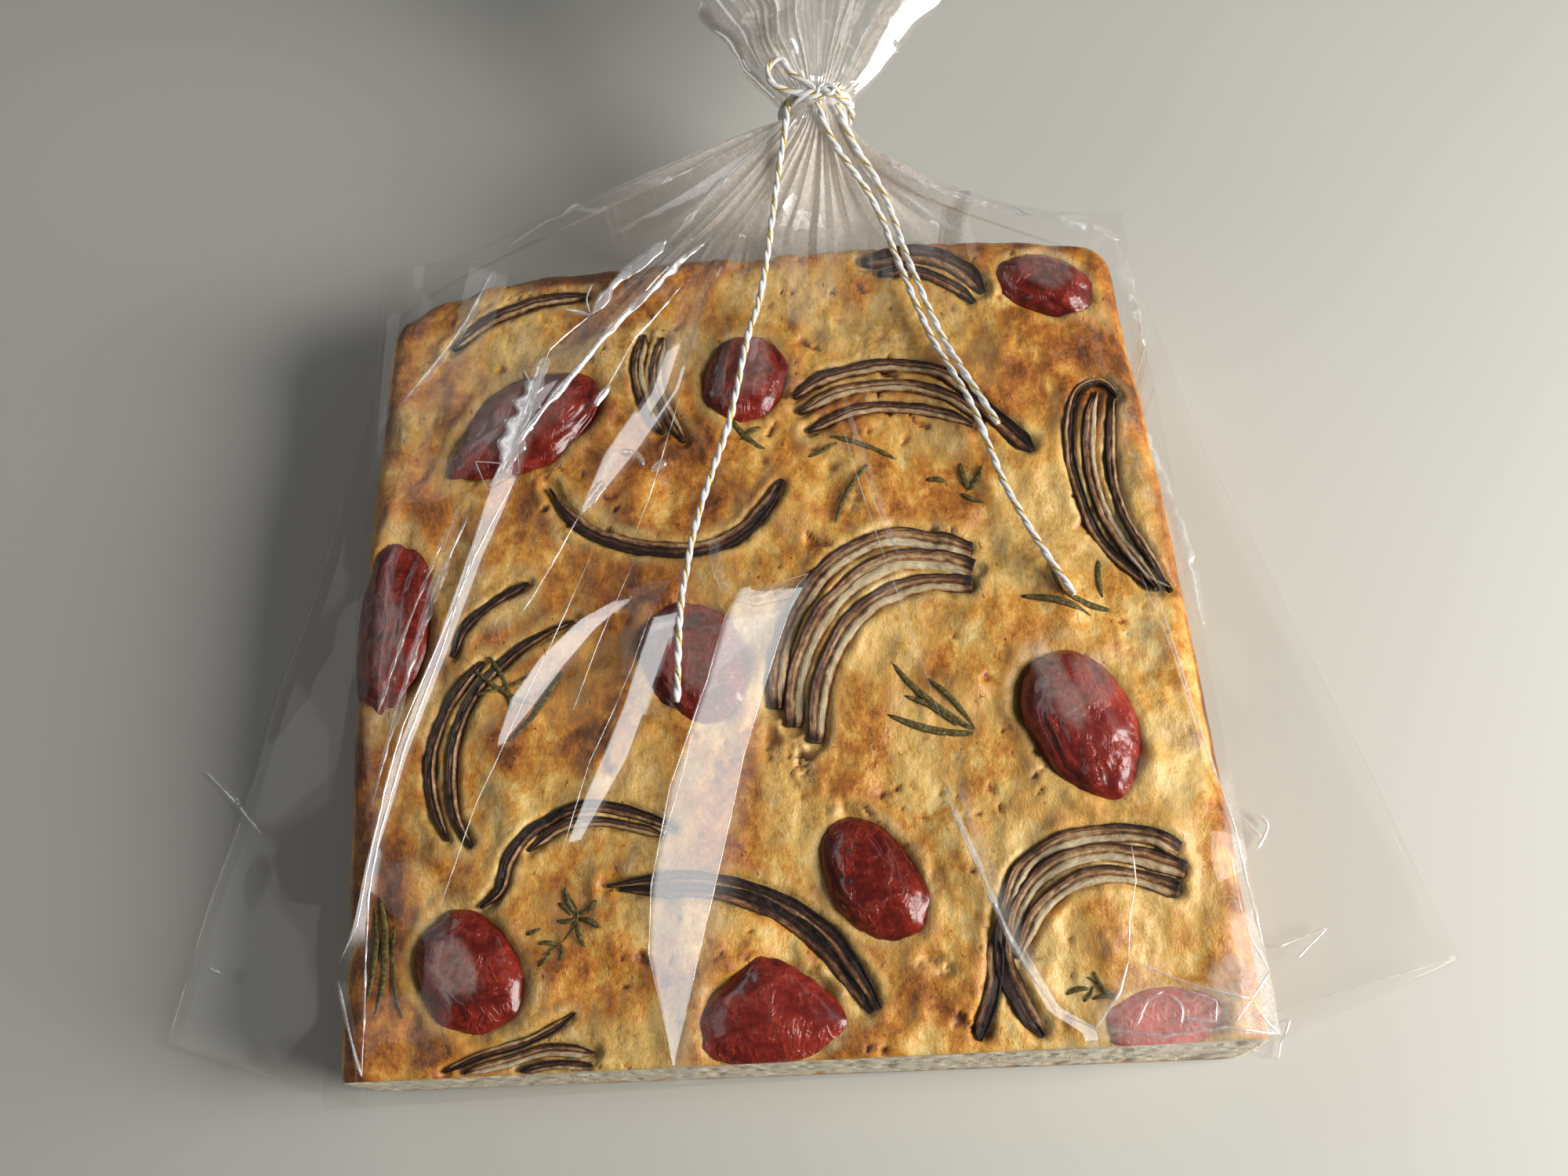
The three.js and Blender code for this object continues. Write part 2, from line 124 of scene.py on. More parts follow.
# Charred onion, in bundles of strands: the points of its middle line, its width (or its widths at
# both ends), how charred it is, and how wide its tips are.
Strand = namedtuple("Strand", "line width dark tips", defaults=((0.3, 0.3),))
ONION = {
    "far_right": [
        Strand([(30, 102), (45, 103), (56, 98), (61.5, 90)], 5, 0.85),
        Strand([(34, 98), (44, 98), (53, 93), (59, 87)], 2.6, 0.8),
    ],
    "far_left": [
        Strand([(-81, 86), (-70, 93.5), (-58, 97.5), (-44, 98.5)], 3.2, 0.62),
    ],
    "far_middle": [
        Strand([(-29, 85), (-31, 74), (-28.5, 62), (-25, 56)], 3.2, 0.4),
        Strand([(-24, 84), (-26.5, 72), (-23, 60), (-19.5, 53)], 3.2, 0.35),
    ],
    "back": [
        Strand([(9.5, 64), (19.5, 69), (34, 71), (48, 67.5), (56, 59)], 3.4, 0.5),
        Strand([(10.5, 59.5), (23.5, 64.5), (37.5, 64.5), (50, 60), (58, 52)], 3.2, 0.4),
        Strand([(12.5, 54), (25, 58.5), (37, 58.5), (48, 55.5), (55, 52)], 2.8, 0.5),
        Strand([(54, 61), (62, 52), (69, 43)], 4.2, 0.9),
    ],
    "smile": [
        Strand([
            (-54.5, 42.5), (-50, 35), (-42, 28.5), (-30, 24.6), (-16, 23.4), (-6, 27), (1, 33.5), (5, 40)
        ], 3.8, 0.8, (0.1, 0.3)),
    ],
    "leaf": [
        Strand([
            (92, 56), (89.6, 60.2), (85.5, 60.8), (81.4, 57), (78.7, 48), (78.4, 37), (81.2, 24),
            (86.5, 14), (93.5, 4.5)
        ], 2.5, 0.66),
        Strand([(87, 58), (84.3, 50), (83, 39), (84.6, 27), (89.4, 16), (95.6, 4)], 3.2, 0.3),
        Strand([(91, 56.5), (89.2, 47), (88.4, 35), (90.6, 22), (98.6, 3.5)], 2.4, 0.62),
    ],
    "arc": [
        Strand([
            (0, -19), (1, -10), (5, 2), (13, 13), (24, 20.5), (36, 22.5), (51, 18)
        ], (4.2, 5.2), 0.34, (0.7, 0.9)),
        Strand([
            (4, -24), (5.5, -12), (11, 0), (20, 10), (31, 15.6), (42, 16), (51, 13)
        ], (4.6, 5.2), 0.25, (0.7, 0.9)),
        Strand([
            (9, -28.5), (11, -15), (17, -3), (25, 4.8), (34, 9), (42, 9.6), (50, 8.4)
        ], (4.6, 4.8), 0.28, (0.7, 0.9)),
    ],
    "left": [
        Strand([(-60, 17.5), (-68.5, 13), (-76, 6.5), (-79, -0.5)], 1.8, 0.95),
        Strand([
            (-49, 7), (-57.5, 4), (-65.5, -1.5), (-72.5, -9.5), (-77, -19), (-79, -30), (-77.5, -40),
            (-73, -48.5)
        ], (1.6, 3), 0.75),
        Strand([(-71.5, -2), (-79, -12), (-83.5, -24), (-83.5, -35), (-79, -46)], 2.3, 0.75),
    ],
    "eyebrow": [
        Strand([
            (-71, -62), (-66.5, -58.5), (-64.5, -52), (-59, -45), (-50, -40.6), (-42, -40.4), (-32, -43.5),
            (-24, -47.5)
        ], (2.2, 2.8), 0.85),
        Strand([(-60, -49.5), (-52, -44.4), (-43, -43.8), (-34, -46), (-27, -48.5)], 2.2, 0.6),
    ],
    "tail": [
        Strand([
            (-41.5, -59), (-31, -58.4), (-20, -58.6), (-9, -61.5), (1.5, -66.5), (9.5, -73.5), (15, -82),
            (19, -90)
        ], (2.4, 4.4), 0.85),
        Strand([
            (-38.5, -60), (-29, -61), (-18.5, -61.6), (-8, -64.6), (1, -69.8), (8.4, -76.8), (13.4, -84),
            (17.4, -90.6)
        ], (2.8, 4.8), 1),
    ],
    "hook": [
        Strand([
            (48, -77), (50, -69), (54, -61.5), (62, -56.5), (73.5, -54.6), (84, -56), (90, -59.5)
        ], (3.2, 4.4), 0.36, (0.3, 0.8)),
        Strand([
            (49, -79), (53, -69), (60, -62), (70, -59), (80, -60), (91, -64)
        ], (3.4, 4.6), 0.24, (0.3, 0.8)),
        Strand([
            (51, -81), (56, -72), (63, -66.4), (71.5, -64), (80, -65), (89, -68.5)
        ], (3.4, 4.2), 0.28, (0.3, 0.8)),
        Strand([(48.5, -71), (48, -82), (51, -91), (55, -98)], 4.4, 0.85),
        Strand([(46.5, -75.5), (45, -86), (40.5, -98)], 3.6, 0.8),
    ],
    "near_left": [
        Strand([(-79, -97.5), (-71, -94.5), (-62, -92.6), (-55, -90), (-49.5, -86.5)], 2, 0.7),
        Strand([(-74.5, -98), (-64, -96), (-55, -94.2), (-45, -95.6)], 2.6, 0.3),
        Strand([(-62, -98.4), (-54, -97.4), (-45, -98.4)], 2.2, 0.7),
    ],
}
# A strand's section from its inner side (-1) to its outer one (1): place across, height, and the
# layer's tone, from cream (0) to black (1).
STRAND_SECTION = [
    (-0.98, -1, 0.6), (-1.03, -0.1, 0.62), (-0.98, 0.3, 0.5), (-0.86, 0.56, 0.2), (-0.68, 0.74, 0.06),
    (-0.48, 0.8, 0.05), (-0.28, 0.74, 0.14), (-0.14, 0.52, 0.5), (0, 0.44, 0.62), (0.14, 0.56, 0.42),
    (0.3, 0.66, 0.34), (0.46, 0.58, 0.48), (0.58, 0.5, 0.66), (0.7, 0.72, 0.62), (0.8, 1, 0.82),
    (0.92, 1.06, 0.98), (1.02, 0.7, 1), (1.05, -0.1, 1), (0.98, -1, 0.95),
]

# Rosemary needles and thyme leaves by their foot, tip and width, and thyme stems by their points.
NEEDLES = [
    ((47.5, -28.5), (28.5, -10), 1.9), ((43, -26.5), (31, -18.5), 1.6), ((47.5, -29), (26.5, -23), 1.9),
    ((47, -28), (36.5, -14.5), 1.5), ((14, 52.5), (34.5, 43.5), 1.5), ((27, 42.5), (17.5, 27), 1.4),
    ((52, 34), (50.5, 41.5), 1.6), ((52, 34), (56, 40.5), 1.5), ((41.5, 37.5), (46.5, 36.5), 1.5),
    ((50, 33), (56, 30), 1.3), ((62, 4.5), (78, -1.5), 1.9), ((70, 14.5), (72, 4), 1.2),
    ((83, -0.5), (71.5, 5), 1.6), ((82.5, 14.5), (81.5, 3), 1.5), ((-52, -6), (-65, -23), 1.6),
    ((-74, -4), (-57, -15), 1.2), ((-70, -1), (-64, -16), 1.3), ((-73, -11), (-60, -6), 1.1),
    ((-95, -58), (-95, -84), 1.7), ((-91.5, -64.5), (-89, -85.5), 1.1), ((-96.5, -60), (-97.5, -82), 1.3),
    ((-7, 58), (0.5, 49), 1.8), ((-5, 52), (1, 56), 1.6), ((12, 46), (20, 50), 1.2),
]
THYME_STEMS = [
    [(-51, -59.5), (-48.5, -65), (-51, -70), (-56.5, -73.5)], [(-47.5, -65.5), (-44, -68.5)],
    [(66, -86), (69, -88.5), (73, -91.5)], [(-8, 58), (-3, 53), (1, 49)],
]
THYME_LEAVES = [
    ((-48.5, -65), (-51.5, -58.5), 1.292), ((-48, -65), (-43.5, -61.5), 1.224),
    ((-48, -66), (-42.8, -68.5), 1.292), ((-48.5, -66), (-46.6, -72.5), 1.292),
    ((-49, -66), (-53.5, -66), 1.156), ((-50, -65), (-53, -62), 1.02), ((-52, -71), (-53, -75.5), 1.02),
    ((-53, -71.5), (-57.5, -71), 1.02), ((-55, -73), (-57.5, -76), 0.952),
    ((-60.5, -68.7), (-57, -67.4), 0.884), ((61, -89.4), (66.5, -88.6), 1.156),
    ((67.5, -85), (70.5, -90.5), 1.02), ((66.5, -90.8), (72.5, -91), 0.952),
    ((64, -91.5), (67, -88), 0.816),
]
LEAF_SECTION = [(-1, -0.35), (-0.6, 0.12), (0, 0), (0.6, 0.12), (1, -0.35), (0.5, -0.55), (-0.5, -0.55)]
STEM_RADIUS = 0.28

# Spots in the crust: place, radius across and along, and strength. They are browner places, paler
# ones that are partly painted highlights, torn pits, burnt ones, and oily ones where the film sticks.
BROWN_SPOTS = [
    (-46.5, -24, 7.5, 9, 0.55), (-36, -62, 22, 9, 0.16), (80, 62, 24, 26, 0.3), (62, 30, 18, 22, 0.25),
    (44, 82, 16, 8, 0.25), (66, -12, 9, 12, 0.25), (60, -38, 9, 6, 0.35), (28, 32, 20, 9, 0.18),
    (-12, 39, 16, 6, 0.2), (-86, 40, 9, 26, 0.3), (-93, -64, 7, 26, 0.35), (-56, -86, 14, 6, 0.4),
    (88, 8, 12, 16, 0.25), (40, -12, 14, 9, 0.2), (74, 12, 12, 10, 0.2), (70, -80, 12, 8, 0.28),
    (12, 92, 26, 7, 0.2), (-36, 104, 60, 8, 0.2), (24, -84, 20, 14, 0.28), (36, -60, 12, 12, 0.22),
    (-50, -84, 24, 14, 0.2), (-46, -56, 16, 10, 0.15),
]
PALE_AND_HIGHLIGHT_SPOTS = [
    (30, -2, 12, 14, 0.5), (44, -22, 16, 9, 0.4), (88, -48, 9, 16, 0.5), (8, 30, 10, 8, 0.35),
    (34, -40, 12, 8, 0.35), (-52, -62, 9, 7, 0.3), (64, -78, 10, 7, 0.5), (58, 70, 9, 12, 0.3),
    (-34, 76, 10, 9, 0.3), (92, -74, 8, 9, 0.5),
]
TORN_SPOTS = [
    (5, -34.5, 4.5, 8, 1), (31, -80, 4, 2.2, 0.7), (34.5, -82.5, 3, 2, 0.7), (-2, -28, 3, 6, 0.5),
    (22, 34, 3, 5, 0.5), (2, 8, 2.5, 5, 0.4), (14, -45, 5, 3, 0.4), (-20, -84, 9, 2.5, 0.4),
    (34, -62, 2.5, 5, 0.4), (17, 44, 3, 6, 0.4),
]
BURNT_SPOTS = [
    (105, -26, 4.5, 13, 1), (95, -33, 7, 4.5, 0.75), (104.5, -39, 3.5, 7, 0.7), (60, 70, 4, 3, 0.4),
    (34.5, 78, 5, 1.2, 0.5),
]
OILY_SPOTS = [
    (-65, -77, 12, 16, 1), (-79, 8, 7, 24, 0.7), (-28, -2, 8, 16, 0.4), (60, -24, 6, 18, 0.6),
    (-44, 58, 12, 16, 0.5), (-70, -30, 12, 22, 0.35), (84, 62, 10, 24, 0.3), (-92, -40, 10, 40, 0.5),
    (-30, 18, 34, 7, 0.4), (0, 86, 22, 12, 0.35),
]

# Folds of the film that run from the gather over the loaf, as points in order from far to near.
FOLDS = {
    "edge_left": [(-92, 106), (-98, 40), (-101, 0), (-105, -57), (-106, -74), (-105, -104)],
    "crease_far_left": [
        (-62, 106), (-70, 80), (-78, 40), (-87, 0), (-98, -32), (-103, -57), (-105.6, -74), (-104, -104),
    ],
    "crease_outer": [
        (-28, 106), (-37, 97), (-44, 90), (-54, 80), (-60, 66), (-67, 49), (-71, 38), (-75, 25), (-83, 0),
        (-92, -26), (-98, -50), (-101, -64), (-104, -74), (-99, -90), (-98, -104),
    ],
    "crease_inner": [
        (-20, 106), (-36, 87), (-46, 74), (-58, 58), (-62, 46), (-66, 36), (-71, 25), (-79.5, 0),
        (-89, -26), (-96, -50), (-98, -64), (-97.5, -75), (-96.5, -90), (-96, -104),
    ],
    "veil_left": [
        (-17, 106), (-23, 93), (-34, 66), (-46, 48), (-56, 20), (-66, 0), (-74, -23), (-79, -60),
        (-80, -104),
    ],
    "ray_left": [
        (-12, 106), (-19, 93), (-29, 66), (-40, 50), (-47, 33), (-36, 11), (-47, 6), (-57, -3), (-64, -13),
        (-67, -23), (-69, -60), (-70, -104),
    ],
    "ray_right": [
        (-6, 106), (-12, 93), (-20, 66), (-31, 50), (-44, 35), (-34, 10), (-43, 3), (-51, -6), (-58, -15),
        (-65, -23), (-67, -60), (-67, -104),
    ],
    "thin_left": [
        (0, 106), (-4, 80), (-10, 50), (-20, 20), (-27, 8), (-36, -16), (-46, -38), (-50, -48), (-54, -75),
        (-56, -104),
    ],
    "thin_right": [
        (6, 106), (3, 80), (-4, 50), (-16, 20), (-22, 4), (-27, -8), (-36, -30), (-47, -48), (-50, -75),
        (-50, -104),
    ],
    "wide_left": [
        (16, 106), (14, 80), (9, 50), (-1, 22), (-8, 9), (-11, 3), (-16, -13), (-26, -37), (-31, -60),
        (-32, -75), (-29, -90), (-27.6, -98.5), (-27, -104),
    ],
    "wide_right": [
        (24, 106), (23, 80), (21, 50), (15, 24), (10, 10.5), (5, 2), (0.5, -9), (-8, -32), (-15, -58),
        (-21, -78), (-25, -92), (-27, -98.5), (-26.4, -104),
    ],
    "middle_left": [
        (33, 106), (32, 80), (31, 50), (30.5, 17), (36, -10), (40, -37), (44, -58), (49, -77), (56, -93),
        (63, -98), (64, -104),
    ],
    "middle_right": [
        (40, 106), (37, 80), (34, 50), (32, 17), (37, -10), (41, -37), (45.5, -58), (51.5, -77),
        (58.5, -92), (66, -97), (67, -104),
    ],
    "right_inner": [
        (52, 106), (52, 80), (54, 50), (56, 17), (60, -10), (66, -38), (74, -64), (75, -83), (71, -90),
        (70, -104),
    ],
    "right_middle": [
        (64, 106), (67, 80), (72, 50), (78, 17), (82, -10), (84, -38), (86, -64), (86, -84), (84, -96),
        (84, -104),
    ],
    "right_outer": [
        (78, 106), (83, 80), (87, 50), (90.5, 8), (96, -23), (99.5, -40), (102, -55), (101, -75), (99, -90),
        (98, -104),
    ],
    "edge_right": [
        (90, 106), (93, 80), (95, 50), (94, 8), (98.5, -23), (101.5, -40), (103.5, -55), (103.8, -75),
        (103, -90), (102, -104),
    ],
}
# The first stretch of each is run straight on to where the shoulder starts.
for fold in FOLDS.values():
    (ax, ay), (bx, by) = fold[:2]
    fold[0] = (ax + (ax - bx) * (SHOULDER["start"] - ay) / (ay - by), SHOULDER["start"])

# Flat facets that mirror a lamp: the fold on the left of each, the lamp's side, and how much of
# the lamp's slope the facet has, as (distance along, share) from near to far.
FACETS = {
    "crease_outer": ("left", [(-75, 0), (-62, 1), (40, 1), (60, 0.6), (100, 1)]),
    "ray_left": ("left", [(-30, 0), (-22, 1), (8, 1), (14, 0), (30, 0.3), (38, 1), (104, 0.7)]),
    "thin_left": ("left", [(-54, 0), (-47, 1), (3, 1), (9, 0), (60, 0.5), (100, 0.6)]),
    "wide_left": ("left", [(-100, 1), (9, 1), (13, 0.1), (100, 0.2)]),
    "middle_left": ("right", [(-100, 1), (-44, 0.8), (-30, 0.2), (104, 0.2)]),
    "right_outer": ("right", [(-95, 0.4), (8, 0.4), (16, 0.2), (104, 0.2)]),
}

# Milky places in the film where it sticks to wet toppings or is crushed, and painted glare, such as
# the streak on the tomato at (72, -28): centre, half-sizes, turn in degrees and strength.
MILK_AND_GLARE_SPOTS = [
    (-76, -75.5, 5, 6.5, 20, 0.24), (67, -20, 3.4, 12, 18, 0.26), (75, -19, 4.5, 7, 10, 0.16),
    (-15, -6, 8, 16, 20, 0.13), (83, -96, 18, 7.5, -4, 0.34), (100, -92, 9, 9, 25, 0.42),
    (92, -98, 14, 3.5, -4, 0.35), (76, -89, 9, 4, 30, 0.2), (104, -66, 4, 30, -4, 0.3),
    (-62, 62, 15, 9, 30, 0.09), (-80, 74, 12, 6, 60, 0.08), (78, 94, 7, 7, 0, 0.14),
    (-2, 72, 6, 9, 0, 0.14), (-95, 2, 5, 16, 5, 0.08),
]

# Sharp creases in the film, white along their line, the white partly crushed film and partly painted
# glints: points, width, strength and softness of the sides from 0 to 1. Those beyond the loaf lie on
# the bag's wings and shoulders; those on the wings are painted glints.
CREASES_AND_GLINTS = [
    ([(-22, 113), (-30, 106), (-36, 101), (-40, 95), (-43, 91)], 2.8, 0.95, 0.3),
    ([(-55, 79), (-60, 63), (-66, 46)], 6, 0.7, 0.4), ([(-56, 74), (-61, 58)], 2.4, 0.8, 0.3),
    ([(-43, 91), (-44, 96), (-42.5, 101)], 0.5, 0.8, 0),
    ([(-43, 91), (-47, 92.5), (-50, 93.5)], 1, 0.7, 0.2),
    ([(-43, 91), (-49, 86), (-54, 81), (-56, 74), (-57, 70), (-60, 62), (-62, 52),
      (-61.5, 46)], 0.5, 0.8, 0),
    ([(-10, 113), (-17, 107), (-26, 97), (-36, 87), (-46, 74), (-58, 59), (-63, 52),
      (-69.5, 43)], 2, 1, 0.5),
    ([(-60, 72), (-57, 68), (-59, 60), (-64, 52), (-69.5, 43)], 0.7, 0.8, 0.2),
    ([(-61.5, 46), (-67, 49), (-73, 50), (-70, 42), (-61.5, 46)], 0.35, 0.7, 0),
    ([(-61, 76), (-57, 68), (-57, 72)], 0.8, 0.6, 0),
    ([(-62, 45), (-68, 35), (-73, 25), (-78, 12), (-82, 2), (-90, -18), (-94, -33),
      (-98, -53), (-100, -64), (-104, -73)], 0.55, 0.8, 0),
    ([(-70, 40), (-74, 25), (-81, 0), (-89, -22), (-94.5, -42), (-97.5, -58), (-97.5, -72),
      (-97, -86), (-97, -97.5)], 0.6, 0.85, 0),
    ([(-104, -76), (-101, -86), (-97, -97.5)], 0.8, 0.85, 0),
    ([(-75, 36), (-80, 24), (-82, 16)], 0.9, 0.3, 0.8), ([(-77, 40), (-84, 16), (-90, -8)], 2.5, 0.14, 1),
    ([(-17, 100), (-24, 91), (-31, 83), (-39, 68)], 0.8, 0.45, 0.7),
    ([(-38, 69), (-41, 65), (-42, 63)], 1.8, 0.85, 0.3), ([(-36, 50), (-31, 48), (-30, 45)], 2.2, 0.4, 0.2),
    ([(-28, 44), (-24, 46.5)], 2, 0.35, 0.2), ([(-40, 42), (-44, 37), (-46.5, 33.5)], 2.6, 0.5, 0.5),
    ([(-46.5, 33.5), (-52, 24), (-58, 14), (-62, 8)], 0.7, 0.22, 0.8),
    ([(-69, 108), (-77, 92), (-86, 79), (-94, 70)], 3.5, 0.4, 1),
    ([(12, 143), (-10, 140), (-40, 130), (-66, 116)], 1, 0.4, 0.8),
    ([(8, 139), (-16, 130), (-30, 129)], 1.6, 0.4, 0.8), ([(8, 136), (-8, 124), (-22, 112)], 1.4, 0.5, 0.7),
    ([(-8, 9), (-11, 3), (-16, -13), (-26, -37), (-31, -60), (-32, -75), (-29, -90),
      (-27.4, -98.5)], 0.35, 0.4, 0),
    ([(10, 12.5), (5, 3), (0.5, -9), (-8, -32), (-15, -58), (-21, -78), (-25, -92),
      (-27.2, -98.5)], 0.3, 0.35, 0),
    ([(-8.5, 8), (0, 9.6), (10, 13), (5, 5.5), (-3, 4.8), (-8.5, 7.2)], 0.3, 0.5, 0),
    ([(-5, 7), (5, 9)], 3.4, 0.3, 0.4), ([(-19, -20), (-23, -35), (-30, -55)], 0.25, 0.3, 0),
    ([(-13, 25), (-12, 14), (-9, 9)], 2.6, 0.16, 0.6),
    ([(-28, 8), (-34, -8), (-45, -30), (-52, -52)], 0.3, 0.22, 0),
    ([(-44, 22), (-58, -8), (-72, -38), (-80, -62)], 0.35, 0.25, 0),
    ([(-33, 20), (-41, 2), (-49, -18)], 0.3, 0.2, 0),
    ([(-78, 30), (-86, 6), (-93, -20), (-97, -36)], 2, 0.22, 0.9),
    ([(-19, 66), (-27, 42), (-33, 26)], 0.35, 0.3, 0), ([(-80, 34), (-90, 6), (-97, -16)], 1.2, 0.2, 0.9),
    ([(20, 60), (24, 38), (29, 16), (34, -4), (40, -30)], 0.3, 0.3, 0),
    ([(22, 62), (27, 38), (33, 14)], 2.6, 0.14, 0.5),
    ([(38, -42), (44, -60), (49, -76), (54, -86), (58, -93)], 1.5, 0.6, 0.4),
    ([(58, -93), (66, -97), (72, -90), (75, -83)], 0.8, 0.6, 0.2),
    ([(75, -83), (76.5, -74), (79, -66), (79, -58)], 0.4, 0.5, 0),
    ([(75, -83), (88, -89), (101, -93)], 0.5, 0.75, 0), ([(101, -93), (105, -89), (108, -86)], 0.5, 0.7, 0),
    ([(66, -97), (80, -99.5), (94, -98.5), (108, -101)], 0.8, 0.5, 0.4),
    ([(101, -93), (104, -98), (107, -101)], 0.8, 0.5, 0.2),
    ([(74, -98), (78, -92), (82, -90)], 1.4, 0.5, 0.6),
    ([(86, -90), (93, -93), (92, -97), (84, -96)], 0.7, 0.6, 0.3),
    ([(83, -91), (85, -94), (84, -98)], 1.1, 0.5, 0.5), ([(96, -98), (99, -95), (101, -93)], 0.5, 0.5, 0.2),
    ([(107, -101), (115, -98), (119, -97), (116, -103), (115, -106), (108, -103)], 0.6, 0.6, 0.2),
    ([(94, 4), (98, -23), (101, -40), (104, -55), (105, -68), (106.5, -86)], 0.7, 0.6, 0.3),
    ([(91, 8), (96, -15), (99.5, -40)], 0.4, 0.45, 0),
    ([(102, -60), (102.5, -76), (107, -88)], 0.4, 0.5, 0), ([(88, 14), (93, 7), (98, 4)], 0.5, 0.5, 0.2),
    ([(98, 104), (101, 90), (104, 70), (108, 50), (112, 25), (114, 4)], 5.5, 0.6, 0.9),
    ([(33, 141), (42, 127), (61, 119), (78, 112), (100, 104)], 5, 0.4, 1),
    ([(50, 131), (56, 127), (62, 121)], 2.6, 0.75, 0.7), ([(72, 117), (77, 112)], 2.2, 0.75, 0.7),
    ([(88, 109), (91, 107)], 2.4, 0.6, 0.8), ([(42, 122), (50, 113), (60, 106)], 3, 0.4, 0.9),
    ([(112, -44), (117, -49), (120, -53)], 2.2, 0.5, 0.7),
    ([(119, -46), (122, -50), (118, -56)], 1.4, 0.6, 0.5),
    ([(110, -79), (119, -80), (132, -76), (123, -83), (119, -80)], 0.8, 0.4, 0.4),
    ([(112, -96), (130, -92), (158, -86)], 0.5, 0.35, 0.3),
    ([(-156, -16), (-147, -25), (-138, -35)], 1.6, 0.4, 0.6), ([(-150, -68), (-146, -70)], 1.4, 0.35, 0.6),
]

# Twine: the loose ends' middle lines from the knot to the tip, as in the solids. Over the loaf,
# nearer than "lifts", they press on the film.
TWINE = {
    "diameter": 1.8, "gap": 0.3, "turns": 2, "lay": 9.0, "ply": 0.6, "ply_offset": 0.36,
    "thread": 0.24, "thread_offset": 0.62, "lifts": 106.0,
}
KNOT = (24.0, 144.6, 55.4)
KNOT_STRANDS = [
    [(-3.4, -1.4, -0.9), (-1.6, 0.6, 0.4), (0.4, 1.2, 0.8), (2.2, -0.2, 0.4), (3.2, -1.8, -0.8)],
    [(-3.0, 1.5, -0.9), (-1.2, 0.1, 0.2), (0.9, -1.2, 0.3), (2.9, 1.2, -0.4), (3.4, 1.6, -1.0)],
]
LOOP = [
    (22, 144.5, 55.2), (15, 145, 55), (9.5, 148, 56), (9, 152, 57.5), (12.5, 153.5, 58), (15, 149.5, 57),
    (21, 145, 56),
]
TAILS = {
    "twine_left": [
        (13.2, 142.4, 52.6), (12.2, 136, 52.3), (10.8, 130, 50.7), (9, 123.5, 46.6), (7.2, 115, 43.9),
        (5, 105, 40.8), (3.2, 96, 40.7), (1.2, 88, 41.1), (-0.8, 81, 43.7), (-2.6, 73, 45.2),
        (-5, 63, 44.8), (-7.6, 55, 42.2), (-11, 46.5, 40.9), (-14.4, 37.5, 40.6), (-17, 29, 41.1),
        (-18.1, 24, 42.6), (-19.6, 17, 42.5), (-21.2, 8, 43.9), (-22.2, -4, 45.3), (-23, -18, 44.9),
    ],
    "twine_long": [
        (21.4, 141.2, 55.4), (22.6, 136.6, 53), (25, 131, 50.5), (28.6, 125, 48.6), (33, 118.5, 45.7),
        (36.4, 111, 42.7), (38.6, 102, 42), (41, 93.5, 41.6), (44, 83, 40.9), (47, 73.5, 41),
        (50.8, 63.5, 42.9), (54.4, 54.5, 42.9), (57.2, 45, 41.7), (60, 34.5, 41.1), (63.6, 25, 40.8),
        (67.4, 16.5, 40.3), (71, 9, 40.4), (74, 3, 40.6),
    ],
    "twine_short": [
        (26.6, 141, 54), (28.4, 136, 51), (31, 130.5, 48.2), (34.6, 124.5, 45.9), (37.6, 117.5, 44),
        (39.8, 110, 42.3), (41.4, 102, 41.9), (43.6, 93.5, 42.2), (46.5, 83.5, 41.1), (49.6, 74, 41.1),
        (53.4, 64, 42.7), (57, 56, 43.2), (60.4, 49, 42.7),
    ],
}

# The camera, in the loaf's millimetres.
CAMERA = {
    "place": (13.0, -103.4, 362.4), "aim": (2.65, 24.3, 0.0), "roll": 8.53, "lens": 31.93, "sensor": 36.0,
}


# ---------------------------------------------------------------- small helpers

def to_row(points):
    """Millimetres about the loaf to metres in the row's frame."""
    return np.asarray(points, dtype=float) * MM + ORIGIN


def lerp(a, b, share):
    return a + (b - a) * share


def smooth(value, low, high):
    """0 below low, 1 above high, and a soft step between them."""
    share = np.clip((value - low) / (high - low), 0, 1)
    return share * share * (3 - 2 * share)


def noise(points, size, seed):
    """Smooth random values from -1 to 1, with cells of this size, at points of 2 or 3 numbers.

    Each use has a seed of its own, so that no two patterns are alike.
    """
    points = np.asarray(points, dtype=float) / size
    dimensions = points.shape[-1]
    table = np.random.default_rng(seed).uniform(-1, 1, (NOISE_CELLS,) * dimensions)
    cell = np.floor(points).astype(int)
    part = points - cell
    part = part * part * (3 - 2 * part)
    total = np.zeros(points.shape[:-1])
    for corner in itertools.product((0, 1), repeat=dimensions):
        weight = np.ones(points.shape[:-1])
        index = []
        for axis, step in enumerate(corner):
            weight *= part[..., axis] if step else 1 - part[..., axis]
            index.append((cell[..., axis] + step) % NOISE_CELLS)
        total += weight * table[tuple(index)]
    return total


def rough(points, size, seed):
    """Noise at three sizes, each half as large and half as strong as the one before."""
    return sum(noise(points, size / 2**k, seed + k) / 2**k for k in range(3))


def stack(*columns):
    return np.stack(np.broadcast_arrays(*columns), axis=-1).astype(float)


def line_places(run, across=0.0):
    """Places for noise along a line: the distance run, and a step to the side."""
    return stack(run, 0 * run + across)


def run_along(points):
    """The distance run at each point of a line."""
    steps = np.linalg.norm(np.diff(np.asarray(points, dtype=float), axis=0), axis=1)
    return np.concatenate([[0], np.cumsum(steps)])


def length_of(points):
    return float(run_along(points)[-1])


def even_points(points, count):
    """This many points, evenly apart, on the straight stretches between the given ones."""
    run = run_along(points)
    wanted = np.linspace(0, run[-1], count)
    return np.stack([np.interp(wanted, run, column) for column in np.asarray(points, dtype=float).T], axis=1)


def straight_points(points, step):
    """Points about this far apart on the straight stretches between the given ones."""
    return even_points(points, max(3, int(length_of(points) / step)))


